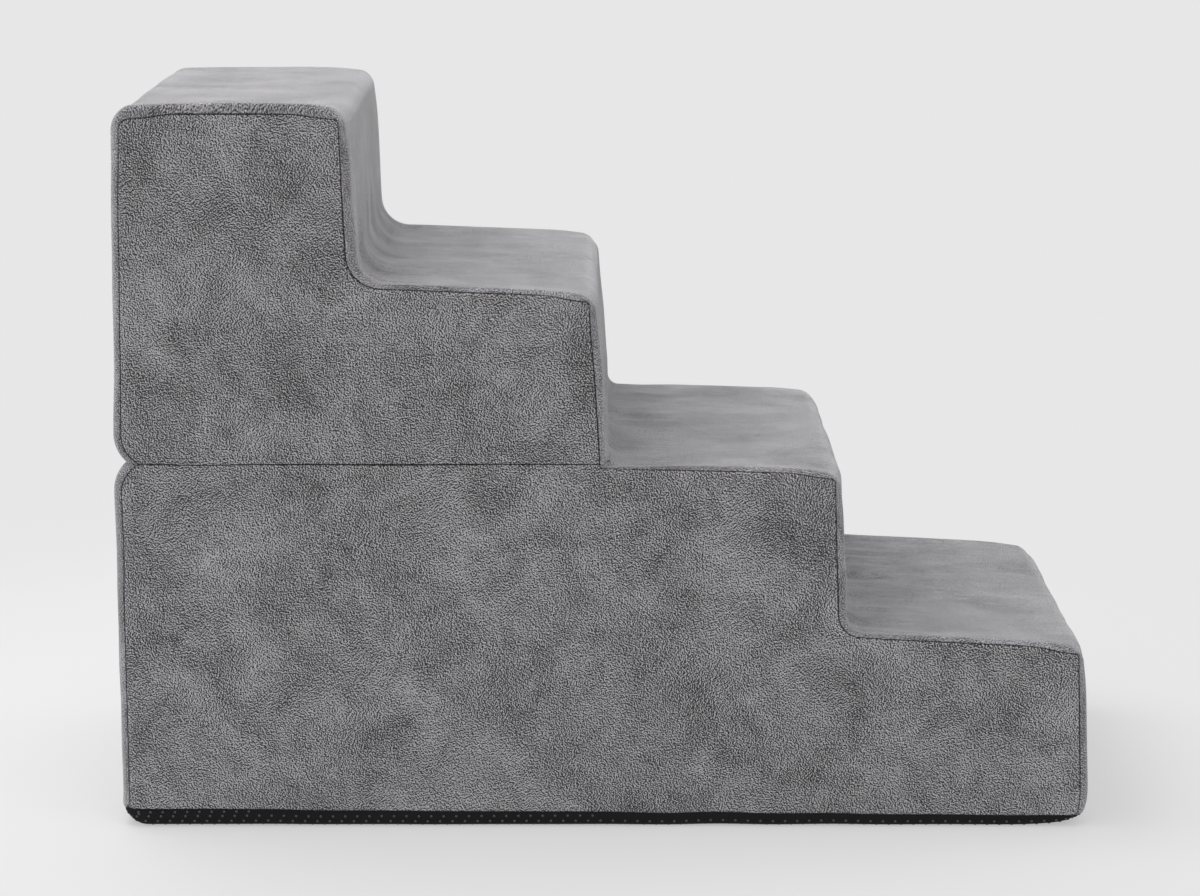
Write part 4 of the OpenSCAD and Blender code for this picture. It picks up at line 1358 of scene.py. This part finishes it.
def cut_outline(x0, x1, y0, y1, cut0, cut1):
    """A rectangle with corners cut by cut0 at x0 and by cut1 at x1"""
    return np.array([
        (x0 + cut0, y0), (x1 - cut1, y0), (x1, y0 + cut1), (x1, y1 - cut1),
        (x1 - cut1, y1), (x0 + cut0, y1), (x0, y1 - cut0), (x0, y0 + cut0),
    ])


def dense(ring, step):
    """The ring with points added so that none are much further apart than step"""
    made = []
    for a, b in zip(ring, np.roll(ring, -1, axis=0)):
        n = max(1, int(np.linalg.norm(b - a) / step))
        made += [mix(a, b, k / n) for k in range(n)]
    return np.array(made)


def flat_sheet(name, ring, z, thickness, cell, finish, up, hem=False):
    """A thin closed sheet in plan. With a hem, it is thinner away from its edge on the side that faces up or,
    for up False, down."""
    ring = dense(ring, cell)
    inner, faces = filled(ring, cell)
    every = np.vstack([ring, inner])
    gap = inside_ring(ring, every)[1]
    gap[: len(ring)] = 0
    thin = 0.22 if hem else 0
    swell = thickness * (1 - thin + thin * np.exp(-((gap / 0.006) ** 4)))
    n, r = len(every), len(ring)
    low = np.column_stack([every, np.full(n, z + (thickness - swell) * (0 if up else 1))])
    high = np.column_stack([every, np.full(n, z) + (swell if up else thickness)])
    tops = faced(low, faces, 2, 1)
    rim = [(i, (i + 1) % r, n + (i + 1) % r, n + i) for i in range(r)]
    shell = [tuple(n + i for i in f) for f in tops] + [f[::-1] for f in tops] + rim
    return new_piece(name, np.vstack([low, high]), shell, finish, every[list(range(n)) * 2])


class STAIRS_OT_linings(Maker, bpy.types.Operator):
    """Builds the linings on the two parting faces, with their hem stitches"""

    bl_idname = "stairs.linings"
    bl_label = "Linings"

    def build(self, block, fabric, looks):
        reach, hem_in, thread = 0.0036, 0.006, 0.0004
        cuts, hem_cuts = (0.0085, 0.0015), (0.006, 0.002)  # of the corners, at the back and at the front
        for module, node in (("lower", "lower_top_lining"), ("upper", "upper_underside_lining")):
            up = module == "lower"
            lo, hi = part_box(node)
            front = hi.x + reach
            ring = cut_outline(lo.x, front, lo.y, hi.y, *cuts)
            name, finish = f"{module}_parting_lining", looks["lining_cloth"]
            piece = flat_sheet(name, ring, lo.z, hi.z - lo.z, 0.008, finish, up, True)
            inner = cut_outline(lo.x + hem_in, front - hem_in, lo.y + hem_in, hi.y - hem_in, *hem_cuts)
            z = hi.z - thread / 4 if up else lo.z + thread / 4
            line = [(*p, z) for p in np.vstack([inner, inner[:1]])]
            hem = sewn(f"{module}_lining_stitches", [line], fabric, thread, looks["thread"])
            stand_for(piece, f"{module}_module", "lining", node)
            stand_for(hem, f"{module}_module", "lining")


class STAIRS_OT_fastening_pads(Maker, bpy.types.Operator):
    """Builds the hook pads and the loop pads between the modules"""

    bl_idname = "stairs.fastening_pads"
    bl_label = "Hook and loop pads"

    def build(self, block, fabric, looks):
        long, cut, end, pitch_x, pitch_y, dot = 0.08, 0.003, 0.002, 0.0016, 0.0018, 0.0008
        for node, body, up in (("loop_pads", "lower_module", True), ("hook_pads", "upper_module", False)):
            lo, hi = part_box(node)
            backing = (hi.z - lo.z) * 0.45
            z = lo.z if up else hi.z - backing
            root = lo.z + backing if up else z
            spots = []
            for side, y0, nodes in (("near", lo.y, [node]), ("far", hi.y - long, [])):
                name = f"{side}_{node[:4]}_pad"
                ring = cut_outline(lo.x, hi.x, y0, y0 + long, cut, cut)
                piece = flat_sheet(name, ring, z, backing, 0.004, looks["pad_cloth"], up)
                stand_for(piece, body, "hook_and_loop", *nodes)
                xs = np.arange(lo.x + cut, hi.x - end, pitch_x)
                ys = np.arange(y0 + cut, y0 + long - end, pitch_y)
                spots += [(x + (pitch_x / 2 if k % 2 else 0), y, root) for k, y in enumerate(ys) for x in xs]
            tilt = np.random.default_rng(5).uniform(-0.5, 0.5, (len(spots), 2))
            normals = np.column_stack([tilt, np.full(len(spots), 1.0 if up else -1.0)])
            tall = (hi.z - lo.z - backing) * 0.96
            tufts = dotted(f"{node[:4]}_tufts", spots, normals, dot, tall, looks["hook_nylon"])
            stand_for(tufts, body, "hook_and_loop")


# Outline of a zip's tape: place from the zip's middle and height over the back
TAPE = [
    (0.0007, -0.0026), (0.0007, -0.0025), (0.0012, -0.00232), (0.0035, -0.0023),
    (0.0042, -0.00245), (0.0117, -0.00245), (0.0125, -0.0025), (0.0127, -0.0026),
    (0.0127, -0.0027), (0.0125, -0.00285), (0.0117, -0.0029), (0.0012, -0.0029),
]
ZIP_FINISHES = {"teeth": "moulded_teeth", **dict.fromkeys(("stops", "slider", "pull"), "satin_metal")}


class STAIRS_OT_zips(Maker, bpy.types.Operator):
    """Builds the zip tapes and gives the teeth, stops, sliders and pulls their finishes"""

    bl_idname = "stairs.zips"
    bl_label = "Zips"

    def build(self, block, fabric, looks):
        half, count, n = ZIP_HALF + ZIP_END, 84, len(TAPE)
        for module, z in block.zip_z.items():
            points, faces = [], []
            for side in (1, -1):
                first = len(points)
                points += [(x, side * y, h) for x in np.linspace(-half, half, count) for y, h in TAPE]
                last = first + (count - 1) * n
                made = tube_faces(count, n, first)
                made += [tuple(range(first, first + n)), tuple(range(last, last + n))[::-1]]
                faces += [f[::-1] for f in made] if side > 0 else made
            flat = np.array(points)
            name, finish = f"{module}_tapes", looks["tape_cloth"]
            piece = new_piece(name, on_back(block, z, flat), faces, finish, flat[:, :2])
            outward(piece)
            stand_for(piece, f"{module}_module", "zip_tape", f"{module}_zip_tapes")
            for part, finish in ZIP_FINISHES.items():
                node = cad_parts[f"{module}_zip_{part}"]
                if not node.material_slots:
                    node.data.materials.append(None)
                for held in node.material_slots:
                    held.material = looks[finish]


class STAIRS_OT_stitches(Maker, bpy.types.Operator):
    """Sews the seams of both modules and the edges of the zip openings"""

    bl_idname = "stairs.stitches"
    bl_label = "Stitches"

    def build(self, block, fabric, looks):
        seam = block.cover(1.0)
        sunk = fabric.seam_depth * 0.45
        steps, starts = block.steps_path(seam)
        first, last = block.hinge_rows(starts)
        lower = [steps[: first + 1], block.back_path(seam)[0], block.base_path(seam)[0]]
        y, h, x_in = ZIP_HALF + 0.003, ZIP_SEAM, -0.0002
        edge = np.array([(-y, h, x_in), (y, h, x_in), (y, -h, x_in), (-y, -h, x_in), (-y, h, x_in)])
        for module, paths in (("lower", lower), ("upper", [steps[last:]])):
            lines = []
            for path in paths:
                for side in (-1, 1):
                    line = swayed(path, np.zeros(len(path)), fabric)
                    line[:, 1] = side * (line[:, 1] - sunk)
                    lines.append(line)
            lines.append(on_back(block, block.zip_z[module], edge))
            thread = sewn(f"{module}_stitches", lines, fabric, fabric.stitch_t, looks["thread"])
            stand_for(thread, f"{module}_module", "plush_side")


class STAIRS_OT_stage(bpy.types.Operator):
    """Builds the floor, the lights and the camera"""

    bl_idname = "stairs.stage"
    bl_label = "Floor, light and camera"

    def execute(self, context):
        stage = context.scene.stairs_stage
        self.floor(stage)
        self.sky(context.scene, stage)
        self.lamps(stage)
        camera = bpy.data.cameras.new("camera")
        camera.lens = stage.lens
        camera.sensor_width = 36
        camera.clip_end = 200
        holder = placed("camera", camera)
        holder.location = stage.camera_place
        holder.rotation_euler = (math.pi / 2 - stage.camera_pitch, 0, 0)
        context.scene.camera = holder
        context.scene.view_settings.view_transform = "Standard"
        return {"FINISHED"}

    def floor(self, stage):
        """A floor that is part surface and part backdrop for the camera, and all backdrop further away"""
        f = Finish("floor_paint")
        coords = f.node("ShaderNodeTexCoord", out=3)
        shade = f.scaled(tuple(stage.floor), 1.0 + f.noise(coords, 1.3, 2.0, 0.5).swing(0.01))
        surface = f.shader(shade, roughness=0.9, specular=0.1)
        near, far = 0.5, 1.3
        away = f.node("ShaderNodeVectorMath", {"operation": "LENGTH"}, {0: coords}, 1).between(near, far)
        glow_share = stage.glow_share + away * (1 - stage.glow_share)
        glow = f.node("ShaderNodeEmission", {}, {"Color": (*stage.glow, 1.0), "Strength": 1.0})
        both = f.node("ShaderNodeMixShader", {}, {0: f.seen_ray() * glow_share, 1: surface, 2: glow})
        reach, count = 30.0, 9
        marks = np.linspace(-1, 1, count)
        mesh = bpy.data.meshes.new("floor")
        points = [(reach * x ** 3, reach * y ** 3, 0) for y in marks for x in marks]
        mesh.from_pydata(points, [], grid_faces(count, count))
        mesh.materials.append(f.ended(both))
        placed("floor", mesh)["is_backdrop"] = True

    def sky(self, scene, stage):
        """Even light from all round, behind a backdrop of its own"""
        scene.world = bpy.data.worlds.new("studio")
        scene.world.use_nodes = True
        sky = Tree(scene.world.node_tree)
        even = sky.node("ShaderNodeBackground", {}, {"Color": (1, 1, 1, 1), "Strength": stage.sky})
        seen = sky.node("ShaderNodeBackground", {}, {"Color": (0.8, 0.8, 0.805, 1), "Strength": 1.0})
        both = sky.node("ShaderNodeMixShader", {}, {0: sky.seen_ray(), 1: even, 2: seen})
        sky.node("ShaderNodeOutputWorld", {}, {"Surface": both})

    def lamps(self, stage):
        """The soft light above and two wide suns from the front"""
        key = bpy.data.lights.new("key", "AREA")
        key.energy = stage.key
        key.size = stage.key_size
        place = Vector(stage.key_place)
        lamps = [(key, place, Vector((0, 0, 0.3)) - place)]
        for name, toward in (("front_left", (0.62, 0.62, -0.48)), ("front_right", (-0.5, 0.72, -0.48))):
            fill = bpy.data.lights.new(name, "SUN")
            fill.energy = stage.fill
            fill.angle = math.radians(60)
            lamps.append((fill, Vector(), Vector(toward)))
        for lamp, at, toward in lamps:
            holder = placed(lamp.name, lamp)
            holder.location = at
            holder.rotation_euler = toward.to_track_quat("-Z", "Y").to_euler()


class STAIRS_PT_panel(bpy.types.Panel):
    """Lists the pieces and their sizes"""

    bl_idname = "STAIRS_PT_panel"
    bl_label = "Pet Stairs"
    bl_space_type = "VIEW_3D"
    bl_region_type = "UI"
    bl_category = "Pet Stairs"

    def draw(self, context):
        for maker in MAKERS:
            self.layout.operator(maker.bl_idname)
        for group in GROUPS:
            values = getattr(context.scene, group)
            box = self.layout.box()
            for name in values.__annotations__:
                box.prop(values, name)


GROUPS = {
    "stairs_form": StairsForm,
    "stairs_fabric": StairsFabric,
    "stairs_colours": StairsColours,
    "stairs_stage": StairsStage,
}
MAKERS = (
    STAIRS_OT_stage,
    STAIRS_OT_side_covers,
    STAIRS_OT_step_covers,
    STAIRS_OT_back_cover,
    STAIRS_OT_base_cover,
    STAIRS_OT_foam_blocks,
    STAIRS_OT_linings,
    STAIRS_OT_fastening_pads,
    STAIRS_OT_zips,
    STAIRS_OT_stitches,
)
CLASSES = (*GROUPS.values(), *MAKERS, STAIRS_PT_panel)


def register():
    for cls in CLASSES:
        bpy.utils.register_class(cls)
    for name, group in GROUPS.items():
        setattr(bpy.types.Scene, name, PointerProperty(type=group))


def unregister():
    for name in GROUPS:
        delattr(bpy.types.Scene, name)
    for cls in reversed(CLASSES):
        bpy.utils.unregister_class(cls)


def main():
    register()
    for maker in MAKERS:
        group, name = maker.bl_idname.split(".")
        getattr(getattr(bpy.ops, group), name)()
    boxes = {"cad": [list(c) for c in CAD_BOX], "visual": [list(c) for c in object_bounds()]}


if __name__ == "__main__":
    main()
